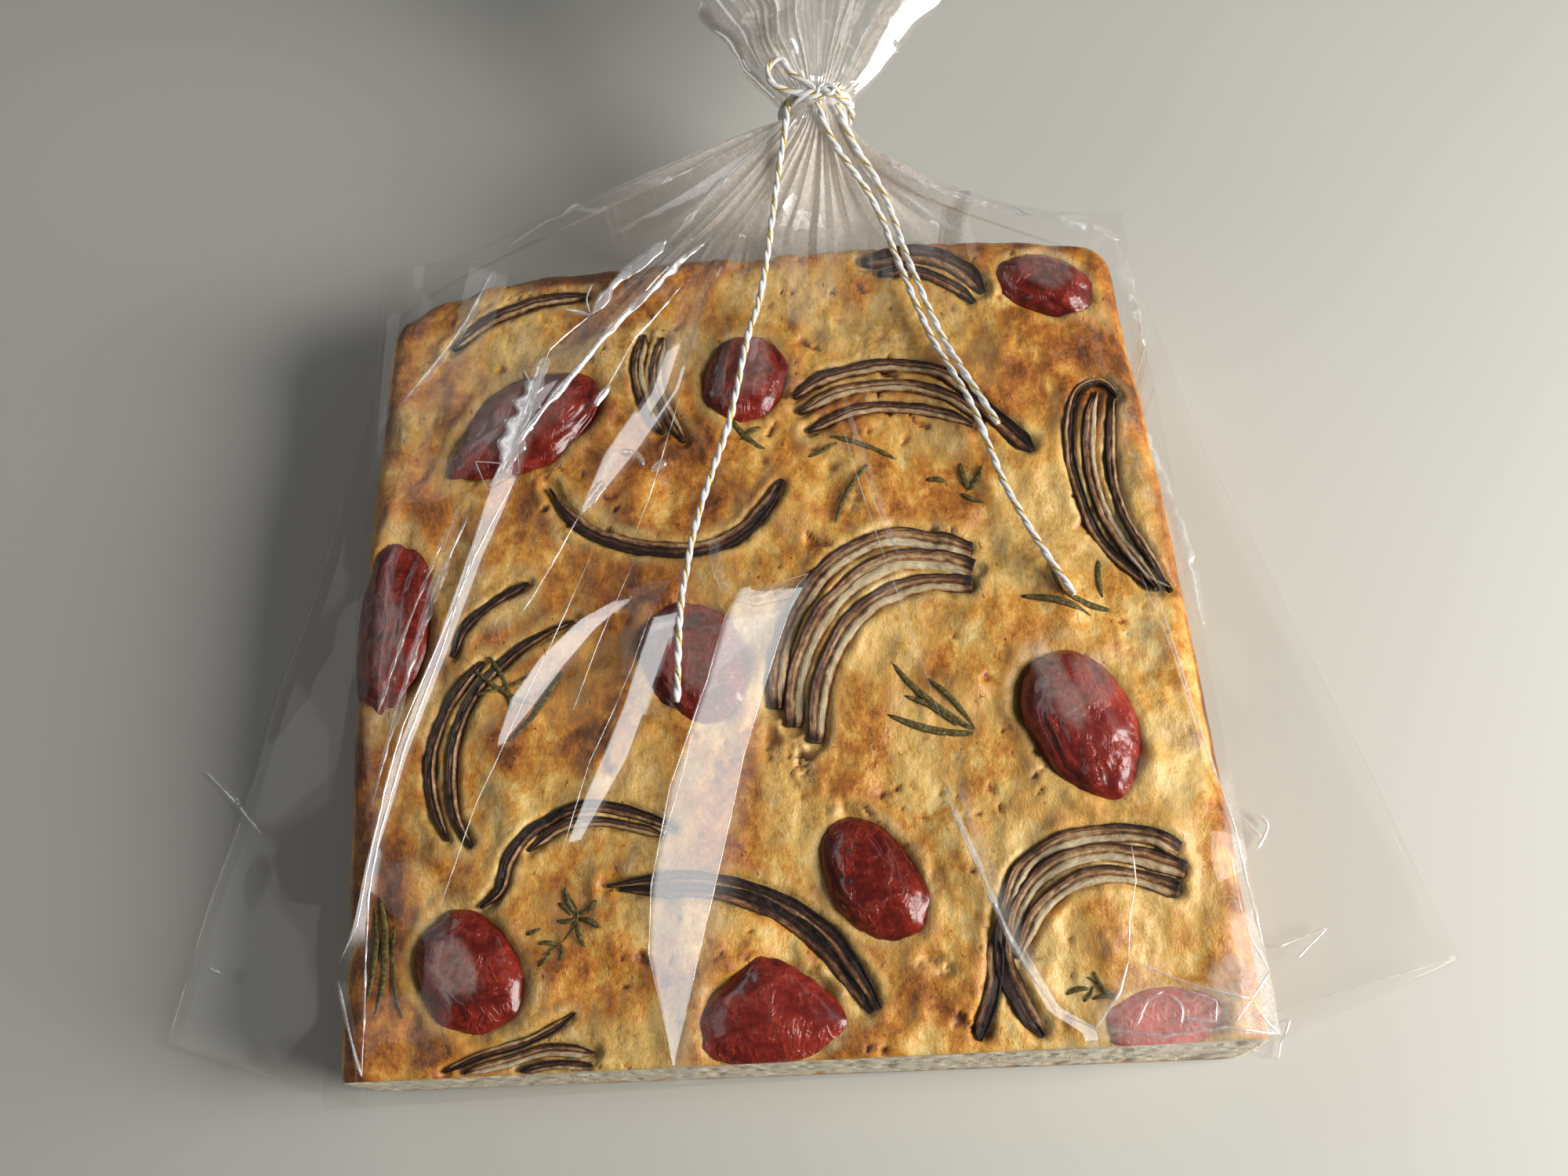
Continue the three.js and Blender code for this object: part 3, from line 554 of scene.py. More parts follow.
def curve_points(points, step):
    """Points about this far apart on a smooth curve through the given ones."""
    points = np.asarray(points, dtype=float)
    padded = np.vstack([2 * points[0] - points[1], points, 2 * points[-1] - points[-2]])
    t = np.linspace(0, 1, CURVE_STEPS, endpoint=False)[:, None]
    fine = []
    for a, b, c, d in zip(padded, padded[1:], padded[2:], padded[3:]):
        fine.append(0.5 * (
            2 * b + (c - a) * t + (2 * a - 5 * b + 4 * c - d) * t**2 + (3 * b - a - 3 * c + d) * t**3
        ))
    fine = np.vstack([*fine, points[-1]])
    return even_points(fine, max(2, int(round(length_of(fine) / step)) + 1))


def side_of(path):
    """The level direction to the left of a path, at each of its points."""
    ahead = np.gradient(path, axis=0)
    ahead /= np.maximum(np.linalg.norm(ahead, axis=1), 1e-9)[:, None]
    return np.stack([-ahead[:, 1], ahead[:, 0]], axis=1)


def turned(x, y, spot_x, spot_y, degrees):
    """Places as seen from a spot whose long axis is turned by these degrees."""
    turn = math.radians(degrees)
    u = (x - spot_x) * math.cos(turn) + (y - spot_y) * math.sin(turn)
    v = (y - spot_y) * math.cos(turn) - (x - spot_x) * math.sin(turn)
    return u, v


def grid_faces(rows, columns, wrap=False):
    """Quads of a grid of points that is stored row after row."""
    index = np.arange(rows * columns).reshape(rows, columns)
    if wrap:
        index = np.hstack([index, index[:, :1]])
    quads = np.stack([index[:-1, :-1], index[:-1, 1:], index[1:, 1:], index[1:, :-1]], axis=-1)
    return quads.reshape(-1, 4).tolist()


def turn_outward(mesh):
    """Turns the faces so that their fronts are on the outside."""
    shells = bmesh.new()
    shells.from_mesh(mesh)
    bmesh.ops.recalc_face_normals(shells, faces=shells.faces)
    shells.to_mesh(mesh)
    shells.free()


def add_piece(name, points, faces, material):
    """A smooth mesh object in the row's frame that rides on the one body."""
    mesh = bpy.data.meshes.new(name)
    mesh.from_pydata(to_row(points).tolist(), [], faces)
    mesh.validate()
    turn_outward(mesh)
    mesh.polygons.foreach_set("use_smooth", [True] * len(mesh.polygons))
    mesh.materials.append(material)
    piece = bpy.data.objects.new(name, mesh)
    bpy.context.scene.collection.objects.link(piece)
    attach(piece, "root")
    return piece


def paint(piece, **layers):
    """Stores numbers for a piece's material, one or three for each of its points."""
    for name, values in layers.items():
        values = np.asarray(values, dtype=np.float32).ravel()
        single = len(values) == len(piece.data.vertices)
        layer = piece.data.attributes.new(name, "FLOAT" if single else "FLOAT_VECTOR", "POINT")
        layer.data.foreach_set("value" if single else "vector", values)


class Heap:
    """Closed tubes that are gathered to make one piece: their points, faces and paints."""

    def __init__(self):
        self.points = []
        self.faces = []
        self.paints = {}
        self.count = 0

    def add(self, lines, **paints):
        """Adds a tube with flat ends, given as the lines of points that run along it."""
        around, length = lines.shape[:2]
        rings = self.count + np.arange(length * around).reshape(length, around)
        quads = self.count + np.array(grid_faces(length, around, wrap=True))
        self.faces += [*quads.tolist(), rings[0].tolist(), rings[-1, ::-1].tolist()]
        self.points.append(lines.swapaxes(0, 1).reshape(-1, 3))
        self.count += rings.size
        for name, values in paints.items():
            self.paints.setdefault(name, []).append(np.swapaxes(values, 0, 1).ravel())

    def piece(self, name, slot, material):
        piece = add_piece(name, np.vstack(self.points), self.faces, material)
        paint(piece, **{key: np.concatenate(values) for key, values in self.paints.items()})
        return piece


# ---------------------------------------------------------------- camera

def make_camera():
    data = bpy.data.cameras.new("camera")
    data.lens = CAMERA["lens"]
    data.sensor_width = CAMERA["sensor"]
    data.clip_start = 0.01
    camera = bpy.data.objects.new("camera", data)
    place, aim = (Vector(to_row(CAMERA[key])) for key in ("place", "aim"))
    turn = (aim - place).to_track_quat("-Z", "Y").to_matrix()
    turn = turn @ Matrix.Rotation(-math.radians(CAMERA["roll"]), 3, "Z")
    camera.matrix_world = Matrix.Translation(place) @ turn.to_4x4()
    bpy.context.scene.collection.objects.link(camera)
    bpy.context.scene.camera = camera


# ---------------------------------------------------------------- node helpers

def srgb(red, green, blue):
    """A colour given in everyday 0 to 255 values, as the linear one that nodes take."""
    def linear(value):
        value /= 255
        return value / 12.92 if value <= 0.04045 else ((value + 0.055) / 1.055) ** 2.4
    return (linear(red), linear(green), linear(blue), 1)


class Nodes:
    """A short way to write a material's nodes. Colours are given in 0 to 255 values."""

    def __init__(self, name):
        self.material = bpy.data.materials.new(name)
        self.material.use_nodes = True
        self.tree = self.material.node_tree
        self.tree.nodes.clear()
        self.output = self.tree.nodes.new("ShaderNodeOutputMaterial")

    def add(self, kind, inputs=None, **settings):
        node = self.tree.nodes.new("ShaderNode" + kind)
        for key, value in settings.items():
            setattr(node, key, value)
        for key, value in (inputs or {}).items():
            self.set(node.inputs[key], value)
        return node

    def set(self, socket, value):
        if isinstance(value, bpy.types.NodeSocket):
            self.tree.links.new(value, socket)
        else:
            socket.default_value = value

    def attribute(self, name, output="Fac"):
        return self.add("Attribute", attribute_name=name).outputs[output]

    def place(self):
        return self.add("TexCoord").outputs["Object"]

    def stretched(self, vector, scale):
        return self.add("Mapping", {"Vector": vector, "Scale": scale}).outputs["Vector"]

    def noise(self, vector, scale, detail=3.0, roughness=0.55, distortion=0.0):
        inputs = {"Vector": vector, "Scale": scale, "Detail": detail, "Roughness": roughness}
        return self.add("TexNoise", {**inputs, "Distortion": distortion}).outputs["Fac"]

    def math(self, operation, a, b=None, c=None, clamp=False):
        node = self.add("Math", operation=operation, use_clamp=clamp)
        for socket, value in zip(node.inputs, (a, b, c)):
            if value is not None:
                self.set(socket, value)
        return node.outputs[0]

    def vary(self, tone, part, weight, clamp=False):
        """A tone that a noise makes lighter and darker by this weight."""
        return self.math("MULTIPLY_ADD", self.math("SUBTRACT", part, 0.5), weight, tone, clamp)

    def ramp(self, value, *stops):
        """A colour, or a grey from 0 to 1, that changes along the value. stops are (place, colour)."""
        node = self.add("ValToRGB", {"Fac": value})
        elements = node.color_ramp.elements
        while len(elements) < len(stops):
            elements.new(0.5)
        for element, (place, colour) in zip(elements, stops):
            element.position = place
            element.color = srgb(*colour) if isinstance(colour, tuple) else (colour, colour, colour, 1)
        return node.outputs["Color"]

    def mix(self, share, a, b, kind="MIX"):
        node = self.add("Mix", data_type="RGBA", blend_type=kind)
        for key, value in (("Factor", share), (6, a), (7, b)):
            self.set(node.inputs[key], srgb(*value) if isinstance(value, tuple) else value)
        return node.outputs[2]

    def bump(self, height, distance, strength):
        inputs = {"Height": height, "Distance": distance, "Strength": strength}
        return self.add("Bump", inputs).outputs["Normal"]

    def shader(self, kind, colour, **inputs):
        return self.add("Bsdf" + kind, {"Color": colour, **inputs}).outputs["BSDF"]

    def blend(self, share, a, b):
        return self.add("MixShader", {0: share, 1: a, 2: b}).outputs["Shader"]

    def surface(self, shader):
        self.tree.links.new(shader, self.output.inputs["Surface"])
        return self.material

    def solid(self, colour, roughness, **inputs):
        """The finished material of one principled shader. inputs are written with _ for each space."""
        named = {key.replace("_", " "): value for key, value in inputs.items()}
        sockets = {"Base Color": colour, "Roughness": roughness, **named}
        return self.surface(self.add("BsdfPrincipled", sockets).outputs["BSDF"])


# ---------------------------------------------------------------- materials

def crust_material():
    """Baked dough: golden, blotched and oily, paler where it was shaded and in spots that are partly painted
    highlights, with torn pores whose fine slits are painted dark as the shade in them.
    """
    n = Nodes("baked_dough")
    place = n.place()
    brown, pale, crumb, burnt, oily = (n.attribute(key) for key in LOAF_PAINTS)
    drawn = n.stretched(place, (1.0, 0.72, 1.0))
    patches = n.noise(place, 72.0, 5.0, 0.62, 0.5)
    blotches = n.noise(drawn, 230.0, 5.0, 0.66, 0.3)
    specks = n.noise(drawn, 900.0, 4.0, 0.7)
    grain = n.noise(place, 2600.0, 3.0, 0.6)
    mottle = n.vary(specks, blotches, 1.2)
    tone = brown
    for part, weight in ((patches, 1.7), (blotches, 1.25), (specks, 0.65), (grain, 0.4)):
        tone = n.vary(tone, part, weight)
    baked = n.ramp(
        tone, (0.0, (243, 212, 142)), (0.2, (234, 188, 102)), (0.42, (217, 153, 62)),
        (0.62, (192, 120, 42)), (0.84, (150, 86, 32)), (1.0, (112, 64, 26)),
    )
    soft = n.ramp(mottle, (0.22, (172, 124, 52)), (0.42, (216, 172, 88)), (0.66, (242, 212, 144)))
    inside = n.ramp(mottle, (0.2, (210, 194, 160)), (0.45, (228, 213, 184)), (0.75, (240, 230, 208)))
    char = n.ramp(specks, (0.3, (40, 18, 12)), (0.75, (124, 54, 24)))
    # Fine slit pores, painted dark as the shade inside them and pressed in by the bump.
    shaded_slits = n.ramp(n.noise(n.stretched(place, (1.0, 0.5, 0.7)), 700.0, 3.0, 0.6), (0.66, 0.0), (0.71, 1.0))
    shaded_slits = n.math("MULTIPLY", shaded_slits, n.ramp(patches, (0.46, 0.0), (0.58, 1.0)))
    colour = n.mix(pale, baked, soft)
    colour = n.mix(n.math("MULTIPLY", oily, 0.7), colour, n.mix(1.0, colour, (168, 150, 112), "MULTIPLY"))
    colour = n.mix(crumb, colour, inside)
    colour = n.mix(n.math("MULTIPLY", shaded_slits, 0.75), colour, (96, 58, 22))
    colour = n.mix(burnt, colour, char)
    height = n.math("MULTIPLY_ADD", grain, 0.13, n.math("MULTIPLY", specks, 0.32))
    height = n.math("MULTIPLY_ADD", blotches, 0.75, height)
    height = n.math("MULTIPLY_ADD", shaded_slits, -0.7, height)
    return n.solid(
        colour, n.ramp(mottle, (0.3, 0.48), (0.65, 0.3)), Normal=n.bump(height, 0.0012, 0.6),
        Subsurface_Weight=0.12, Subsurface_Radius=(1.0, 0.5, 0.2), Subsurface_Scale=0.0015,
        Specular_IOR_Level=0.4, Coat_Weight=0.12, Coat_Roughness=0.15,
    )


def tomato_material():
    """Roasted tomato skin: wet and wrinkled, deep red, brighter where thin, with painted shade in its
    creases.
    """
    n = Nodes("tomato_skin")
    place = n.place()
    fold, edge = n.attribute("fold"), n.attribute("edge")
    blotch = n.noise(place, 150.0, 4.0, 0.6, 0.5)
    fine = n.noise(place, 900.0, 3.0, 0.6)
    tone = n.vary(blotch, fine, 0.4)
    thick = n.ramp(
        tone, (0.28, (72, 16, 12)), (0.44, (114, 28, 18)), (0.58, (150, 46, 30)), (0.78, (172, 66, 50)),
    )
    thin = n.ramp(tone, (0.3, (204, 62, 56)), (0.7, (238, 112, 104)))
    colour = n.mix(n.attribute("thin"), thick, thin)
    # Painted shade: the skin is darkened in its wrinkles.
    colour = n.mix(n.math("MULTIPLY", fold, 0.5), colour, (60, 8, 8))
    colour = n.mix(n.math("MULTIPLY", edge, 0.6), colour, (110, 30, 12))
    creases = n.noise(n.stretched(place, (1.0, 0.5, 1.0)), 270.0, 2.0, 0.5, 1.2)
    creases = n.ramp(creases, (0.4, 0.0), (0.5, 1.0), (0.6, 0.0))
    creases = n.math("MULTIPLY", creases, n.ramp(blotch, (0.46, 0.0), (0.6, 1.0)))
    return n.solid(
        colour, 0.24, Normal=n.bump(n.math("MULTIPLY_ADD", fine, 0.12, creases), 0.0003, 0.8),
        Subsurface_Weight=0.2, Subsurface_Radius=(1.0, 0.2, 0.1), Subsurface_Scale=0.002,
        Specular_IOR_Level=0.35, Coat_Weight=0.3, Coat_Roughness=0.08,
    )


def onion_material():
    """Roasted onion: a black outer skin, brown ribs and a cream inner edge, in fine long fibres."""
    n = Nodes("charred_onion")
    strip = n.attribute("strip", "Vector")
    fibres = n.noise(n.stretched(strip, (140.0, 3200.0, 60.0)), 1.0, 4.0, 0.68)
    patches = n.noise(n.stretched(strip, (520.0, 1100.0, 140.0)), 1.0, 4.0, 0.68)
    tone = n.vary(n.attribute("layer"), fibres, 0.8)
    tone = n.vary(tone, patches, 0.9, clamp=True)
    colour = n.ramp(
        tone, (0.05, (240, 220, 180)), (0.27, (214, 176, 126)), (0.47, (162, 110, 68)),
        (0.64, (108, 68, 46)), (0.8, (70, 42, 31)), (1.0, (42, 25, 20)),
    )
    normal = n.bump(n.math("MULTIPLY_ADD", fibres, 1.4, patches), 0.0007, 1.0)
    return n.solid(
        colour, 0.42, Normal=normal, Specular_IOR_Level=0.35, Coat_Weight=0.12, Coat_Roughness=0.22,
    )


def herb_material():
    n = Nodes("baked_herb")
    place = n.place()
    tone = n.noise(place, 1100.0, 4.0, 0.7)
    colour = n.ramp(tone, (0.34, (52, 44, 22)), (0.5, (94, 82, 42)), (0.66, (146, 130, 80)))
    colour = n.mix(n.math("MULTIPLY", n.attribute("across"), 0.25), colour, (124, 116, 80))
    return n.solid(colour, 0.7, Normal=n.bump(n.noise(place, 1500.0), 0.0002, 0.6), Specular_IOR_Level=0.2)


def film_material():
    """Clear film: it mirrors a little straight on and more at a slant, and is milky where crushed, with
    painted glare.
    """
    n = Nodes("clear_film")
    slant = n.math("POWER", n.add("LayerWeight", {"Blend": 0.5}).outputs["Facing"], 5.0)
    mirror = n.math("MULTIPLY", n.math("MULTIPLY_ADD", slant, 0.75, 0.2), n.attribute("gloss"))
    clear = n.shader("Transparent", (0.985, 0.985, 0.98, 1))
    gloss = n.shader("Glossy", (1, 1, 1, 1), Roughness=0.05)
    milk = n.shader("Diffuse", srgb(244, 236, 226), Roughness=0.5)
    streak = n.ramp(n.noise(n.place(), 700.0, 2.0, 0.6), (0.3, 0.5), (0.7, 1.0))
    # The milky white stands for crushed film and also for painted reflections and glare.
    haze = n.math("MULTIPLY", n.attribute("haze"), streak)
    return n.surface(n.blend(haze, n.blend(mirror, clear, gloss), milk))


def crease_material():
    """Film that is crushed along a crease: white, half clear and shiny. Its white is partly painted glints.
    """
    n = Nodes("creased_film_glints")
    clear = n.shader("Transparent", (1, 1, 1, 1))
    milk = n.shader("Diffuse", srgb(250, 250, 248), Roughness=0.5)
    gloss = n.shader("Glossy", (1, 1, 1, 1), Roughness=0.22)
    streak = n.ramp(n.noise(n.place(), 1400.0, 2.0, 0.6), (0.3, 0.45), (0.6, 0.95))
    share = n.math("MULTIPLY", n.attribute("haze"), streak)
    return n.surface(n.blend(share, clear, n.blend(0.5, milk, gloss)))


def twine_material():
    n = Nodes("white_twine")
    fibres = n.noise(n.stretched(n.attribute("strip", "Vector"), (900.0, 9000.0, 900.0)), 1.0, 3.0, 0.6)
    colour = n.ramp(fibres, (0.3, (232, 230, 226)), (0.6, (252, 252, 250)))
    return n.solid(colour, 0.8, Normal=n.bump(fibres, 0.0002, 0.8), Sheen_Weight=0.3)


def gold_material():
    n = Nodes("gold_thread")
    glint = n.noise(n.place(), 1800.0, 2.0, 0.5)
    return n.solid(n.ramp(glint, (0.35, (176, 132, 24)), (0.65, (244, 208, 70))), 0.35, Metallic=0.6)


def floor_material():
    n = Nodes("pale_floor")
    tone = n.noise(n.place(), 3.0, 2.0, 0.5)
    return n.solid(n.ramp(tone, (0.3, (198, 198, 191)), (0.7, (204, 204, 197))), 0.7)


# ---------------------------------------------------------------- the dough

def half_width(y):
    along = np.clip((y - LOAF["near"]) / (LOAF["far"] - LOAF["near"]), 0, 1)
    return lerp(LOAF["half_near"], LOAF["half_far"], along)


def swell(x, y):
    """The broad unevenness of the dough, as in the solid."""
    broad = np.sin(x / 19 + 0.6) * np.cos(y / 23 - 0.4)
    small = np.sin(x / 9.5 - y / 13) * np.sin(y / 10.5 + 1.1)
    return 0.9 * broad + 0.5 * small


def spot_sum(spots, x, y):
    """How far a place lies in soft round spots, each (x, y, radius across, radius along, weight)."""
    total = np.zeros(np.broadcast(x, y).shape)
    for sx, sy, across, length, weight in spots:
        distance = np.sqrt(((x - sx) / across) ** 2 + ((y - sy) / length) ** 2)
        total = np.maximum(total, weight * (1 - smooth(distance, 0.35, 1.15)))
    return total


def oval_distance(tomato, x, y):
    """1 on a tomato's outline, less inside it."""
    u, v = turned(x, y, tomato.x, tomato.y, tomato.turn)
    return np.sqrt((u / (tomato.length / 2)) ** 2 + (v / (tomato.width / 2)) ** 2)


def line_distance(line, x, y):
    """How far places lie from a line of points."""
    best = np.full(np.broadcast(x, y).shape, 1e9)
    for (ax, ay), (bx, by) in zip(line[:-1], line[1:]):
        dx, dy = bx - ax, by - ay
        share = np.clip(((x - ax) * dx + (y - ay) * dy) / (dx * dx + dy * dy), 0, 1)
        best = np.minimum(best, (x - ax - share * dx) ** 2 + (y - ay - share * dy) ** 2)
    return np.sqrt(best)


def strand_distance(x, y):
    """The distance from the nearest onion strand's edge, below zero on the strand."""
    distances = []
    for strand in itertools.chain(*ONION.values()):
        line = curve_points(strand.line, 1.0)[::3]
        distances.append(line_distance(line, x, y) - np.mean(strand.width) / 2)
    return np.min(distances, axis=0)


def dough_marks(x, y):
    """The pockets and grooves that toppings press into the dough: height change and paleness."""
    change = np.zeros(np.broadcast(x, y).shape)
    pale = np.zeros_like(change)
    places = stack(x, y)
    patchy = smooth(noise(places, 12, 33), -0.6, 0.5)
    for number, tomato in enumerate(TOMATOES):
        distance = oval_distance(tomato, x, y) + 0.09 * noise(places, 6, 200 + number)
        change -= POCKET["depth"] * (1 - smooth(distance, 0.76, 1.04))
        change += POCKET["collar"] * np.exp(-(((distance - 1.18) / 0.12) ** 2))
        pale = np.maximum(pale, 0.75 * patchy * (1 - smooth(distance, 1.06, 1.35)))
    groove = strand_distance(x, y) + 0.5 * noise(places, 4, 31)
    change -= GROOVE["depth"] * (1 - smooth(groove, -0.6, 0.9))
    change += GROOVE["collar"] * np.exp(-((groove - 1.9) ** 2))
    pale = np.maximum(pale, 0.8 * patchy * (1 - smooth(groove, 0.6, 4.5)))
    return change, pale


def soft_height(x, y):
    """The height of the dough's top without its small bumps and before toppings press into it."""
    places = stack(x, y)
    lumps = 1.2 * noise(places, 17, 3) + 0.7 * noise(places, 8, 4)
    dents = -1.7 * smooth(noise(places, 21, 9), 0.35, 0.85)
    return LOAF["height"] - 0.3 + swell(x, y) + lumps + dents


def top_places():
    """The top's places, in rows across the loaf, and their distance in from its rounded outline."""
    depth = LOAF["far"] - LOAF["near"]
    bend = FAR_CORNER["left"]
    straight = np.linspace(0, 1 - bend / depth, int((depth - bend) / LOAF_STEP), endpoint=False)
    turns = int(bend * math.pi / 2 / LOAF_STEP)
    round_part = 1 - bend / depth * (1 - np.sin(math.pi / 2 * np.arange(turns + 1) / turns))
    v = np.concatenate([straight, round_part])[:, None]
    u = np.linspace(-1, 1, int(2 * LOAF["half_near"] / LOAF_STEP))

    half = half_width(LOAF["near"] + v * depth)
    corner = np.where(u < 0, FAR_CORNER["left"], FAR_CORNER["right"])
    narrowing = corner - np.sqrt(corner**2 - np.clip(corner - (1 - v) * depth, 0, None) ** 2)
    spread = u * (half - RIM_INSET - narrowing) / half
    along = v * (1 - RIM_INSET / TOP_DEPTH)
    near_left, near_right, far_left, far_right = (np.array(place) for place in CORNERS.values())
    share = (spread[..., None] + 1) / 2
    flat = lerp(lerp(near_left, near_right, share), lerp(far_left, far_right, share), along[..., None])
    x = flat[..., 0] + SIDE_BOW * spread**3 * np.sin(math.pi * v)
    y = flat[..., 1] + FAR_BOW * (1 - np.abs(spread) ** 3) * v**5

    from_side = half - np.abs(spread) * half
    from_far = (1 - along) * TOP_DEPTH + 0 * from_side
    corner_x, corner_y = (np.clip(corner - distance, 0, None) for distance in (from_side, from_far))
    in_corner = (corner_x > 0) & (corner_y > 0)
    edge = np.where(in_corner, corner - np.hypot(corner_x, corner_y), np.minimum(from_side, from_far))
    return x, y, edge


def top_dough(x, y, edge):
    """The height of the loaf's top, torn, pitted and pressed in by toppings, and its paints."""
    places = stack(x, y)
    change, pressed = dough_marks(x, y)
    torn = spot_sum(TORN_SPOTS, x, y)
    ragged = np.abs(noise(places, 2.4, 71)) + 0.6 * np.abs(noise(places, 1.3, 72))
    rim_drop = RIM - np.sqrt(RIM**2 - np.clip(RIM - edge, 0, RIM) ** 2)
    grained = soft_height(x, y) + 0.42 * rough(places * (1, 0.7), 4.0, 5)
    z = grained + change - rim_drop - torn * (0.6 + 2.2 * smooth(ragged, 0.35, 0.95))
    askew = places @ np.array([[0.8, 0.6], [-0.6, 0.8]])
    bent = askew + 1.6 * stack(noise(askew, 4, 83), noise(askew, 4, 84))
    holes = smooth(noise(bent, 2.6, 81), 0.66, 0.9) * smooth(noise(askew, 23, 82), 0.0, 0.5)
    z -= 1.1 * holes
    z -= 0.8 * (1 - smooth(y - y[:1], 0, 1.6))

    pits = np.clip(torn * smooth(ragged, 0.45, 0.9) + holes, 0, 1)
    brown = 0.38 + 0.2 * noise(places, 34, 91) + 0.16 * noise(places, 13, 92)
    # Painted shade: the crust is made browner towards the left, where the light from the window at the right
    # falls off.
    brown += 0.07 * (z - LOAF["height"] - swell(x, y)) + 0.18 * smooth(-x, -20, 80)
    # Painted shade: torn pits and holes are made browner inside, as the shade that falls in them.
    brown += 0.7 * spot_sum(BROWN_SPOTS, x, y) + 0.3 * (1 - smooth(edge, 1, 12)) + 0.55 * pits
    # Paler spots, partly painted highlights.
    pale_and_highlight = spot_sum(PALE_AND_HIGHLIGHT_SPOTS, x + 4 * noise(places, 11, 98), y + 4 * noise(places, 11, 99))
    shaded = 0.75 * smooth(noise(places, 16, 93), 0.1, 0.6)
    pale = np.max([pressed, shaded, 0.9 * torn, pale_and_highlight], axis=0) * smooth(edge, 1, 7) * (1 - pits)
    burnt = spot_sum(BURNT_SPOTS, x, y) * (0.6 + 0.4 * noise(places, 3, 94))
    oily = spot_sum(OILY_SPOTS, x + 2.5 * noise(places, 9, 96), y + 2.5 * noise(places, 9, 97))
    return z, stack(brown, pale, 0, burnt, oily)


def side_profile():
    """From the top's edge down the crust to the table: shares of the height, and mm outward."""
    top = LOAF["height"] - RIM * (1 - math.cos(RIM_START))
    profile = []
    for angle in np.linspace(RIM_START, RIM_END, 7)[1:]:
        out = RIM * (math.sin(angle) - math.sin(RIM_START))
        profile.append(((LOAF["height"] - RIM * (1 - math.cos(angle))) / top, out))
    wall_top, out = profile[-1]
    for share in np.linspace(0, 1, 25)[1:]:
        bulge = 0.6 * math.sin(math.pi * min(1, share * 0.9))
        profile.append((lerp(wall_top, FOOT / top, share), out + bulge))
    out = profile[-1][1]
    for angle in np.linspace(0, math.pi / 2, 5)[1:]:
        profile.append((FOOT / top * (1 - math.sin(angle)), out - FOOT * (1 - math.cos(angle))))
    return profile


def side_rings(rim, columns):
    """Rings down the loaf's sides from its rim, and their paints. The near side is the pale cut."""
    on_near = np.zeros(len(rim))
    on_near[:columns] = 1
    on_cut = on_near.copy()
    on_cut[[0, columns - 1]] = 0
    ahead = np.roll(rim, -1, axis=0) - np.roll(rim, 1, axis=0)
    outward = np.stack([ahead[:, 1], -ahead[:, 0]], axis=1)
    outward /= np.linalg.norm(outward, axis=1)[:, None]
    across = np.clip(rim[:, 0] / LOAF["half_near"], -1, 1)
    lean = 3.0 + 0.9 * across
    for level, out in side_profile():
        ring = rim * (1, 1, level)
        ring[:, 0] += np.where(on_near > 0, across, outward[:, 0]) * out
        ring[:, 1] += np.where(on_near > 0, -lean * (1 - level), outward[:, 1] * out)
        bumps = 0.55 * rough(ring, 9, 101) + 0.25 * noise(ring, 2.6, 105)
        bumps *= math.sin(math.pi * min(1, 0.15 + level)) * (1 - on_near)
        ring[:, :2] += outward * bumps[:, None]
        pits = smooth(noise(ring * (1, 1, 1.5), 3.4, 111), 0.1, 0.75)
        pits += 0.6 * smooth(noise(ring, 1.7, 112), 0.2, 0.8)
        ring[:, 1] += 1.5 * pits * on_cut * smooth(1 - level, 0.02, 0.08) * smooth(level, 0, 0.06)
        brown = 0.54 + 0.16 * noise(ring, 14, 95) + 0.22 * (1 - level) - 0.12 * math.sin(math.pi * level)
        crumb = on_near * (0.25 + 0.75 * smooth(1 - level, 0.02, 0.12))
        crumb *= 1 - 0.8 * smooth(1 - level, 0.93, 1)
        burnt = spot_sum(BURNT_SPOTS, ring[:, 0], ring[:, 1]) * smooth(level, 0.1, 0.6)
        yield ring, stack(brown, 0, crumb, burnt, 0)


def make_loaf(material):
    """The loaf as one closed skin. Gives back the points of its top."""
    x, y, edge = top_places()
    z, top_paints = top_dough(x, y, edge)
    index = np.arange(x.size).reshape(x.shape)
    # The outline's points in order: near side, right side, far side, left side.
    outline = np.concatenate([index[0, :-1], index[:-1, -1], index[-1, :0:-1], index[:0:-1, 0]])
    top = stack(x, y, z).reshape(-1, 3)
    rings = list(side_rings(top[outline], x.shape[1]))
    foot = rings[-1][0]
    centre = foot.mean(axis=0)
    for scale in (0.97, 0.88, 0.72, 0.5, 0.25, 0.1):
        rings.append((centre + (foot - centre) * scale, np.tile((0.8, 0, 0, 0, 0), (len(foot), 1))))

    faces = grid_faces(*x.shape)
    above = outline
    for number in range(len(rings)):
        below = x.size + len(outline) * number + np.arange(len(outline))
        faces += np.stack([above, below, np.roll(below, -1), np.roll(above, -1)], axis=1).tolist()
        above = below
    last = x.size + len(outline) * len(rings)
    faces += [[int(a), last, int(b)] for a, b in zip(above, np.roll(above, -1))]
    points = np.vstack([top, *(ring for ring, _ in rings), centre])
    points[:, 2] += LOAF["lift"]
    paints = np.vstack([top_paints.reshape(-1, 5), *(paints for _, paints in rings), (0.5, 0, 0, 0, 0)])
    loaf = add_piece("loaf", points, faces, material)
    paint(loaf, **dict(zip(LOAF_PAINTS, paints.T)))
    return points[:x.size]


# ---------------------------------------------------------------- toppings

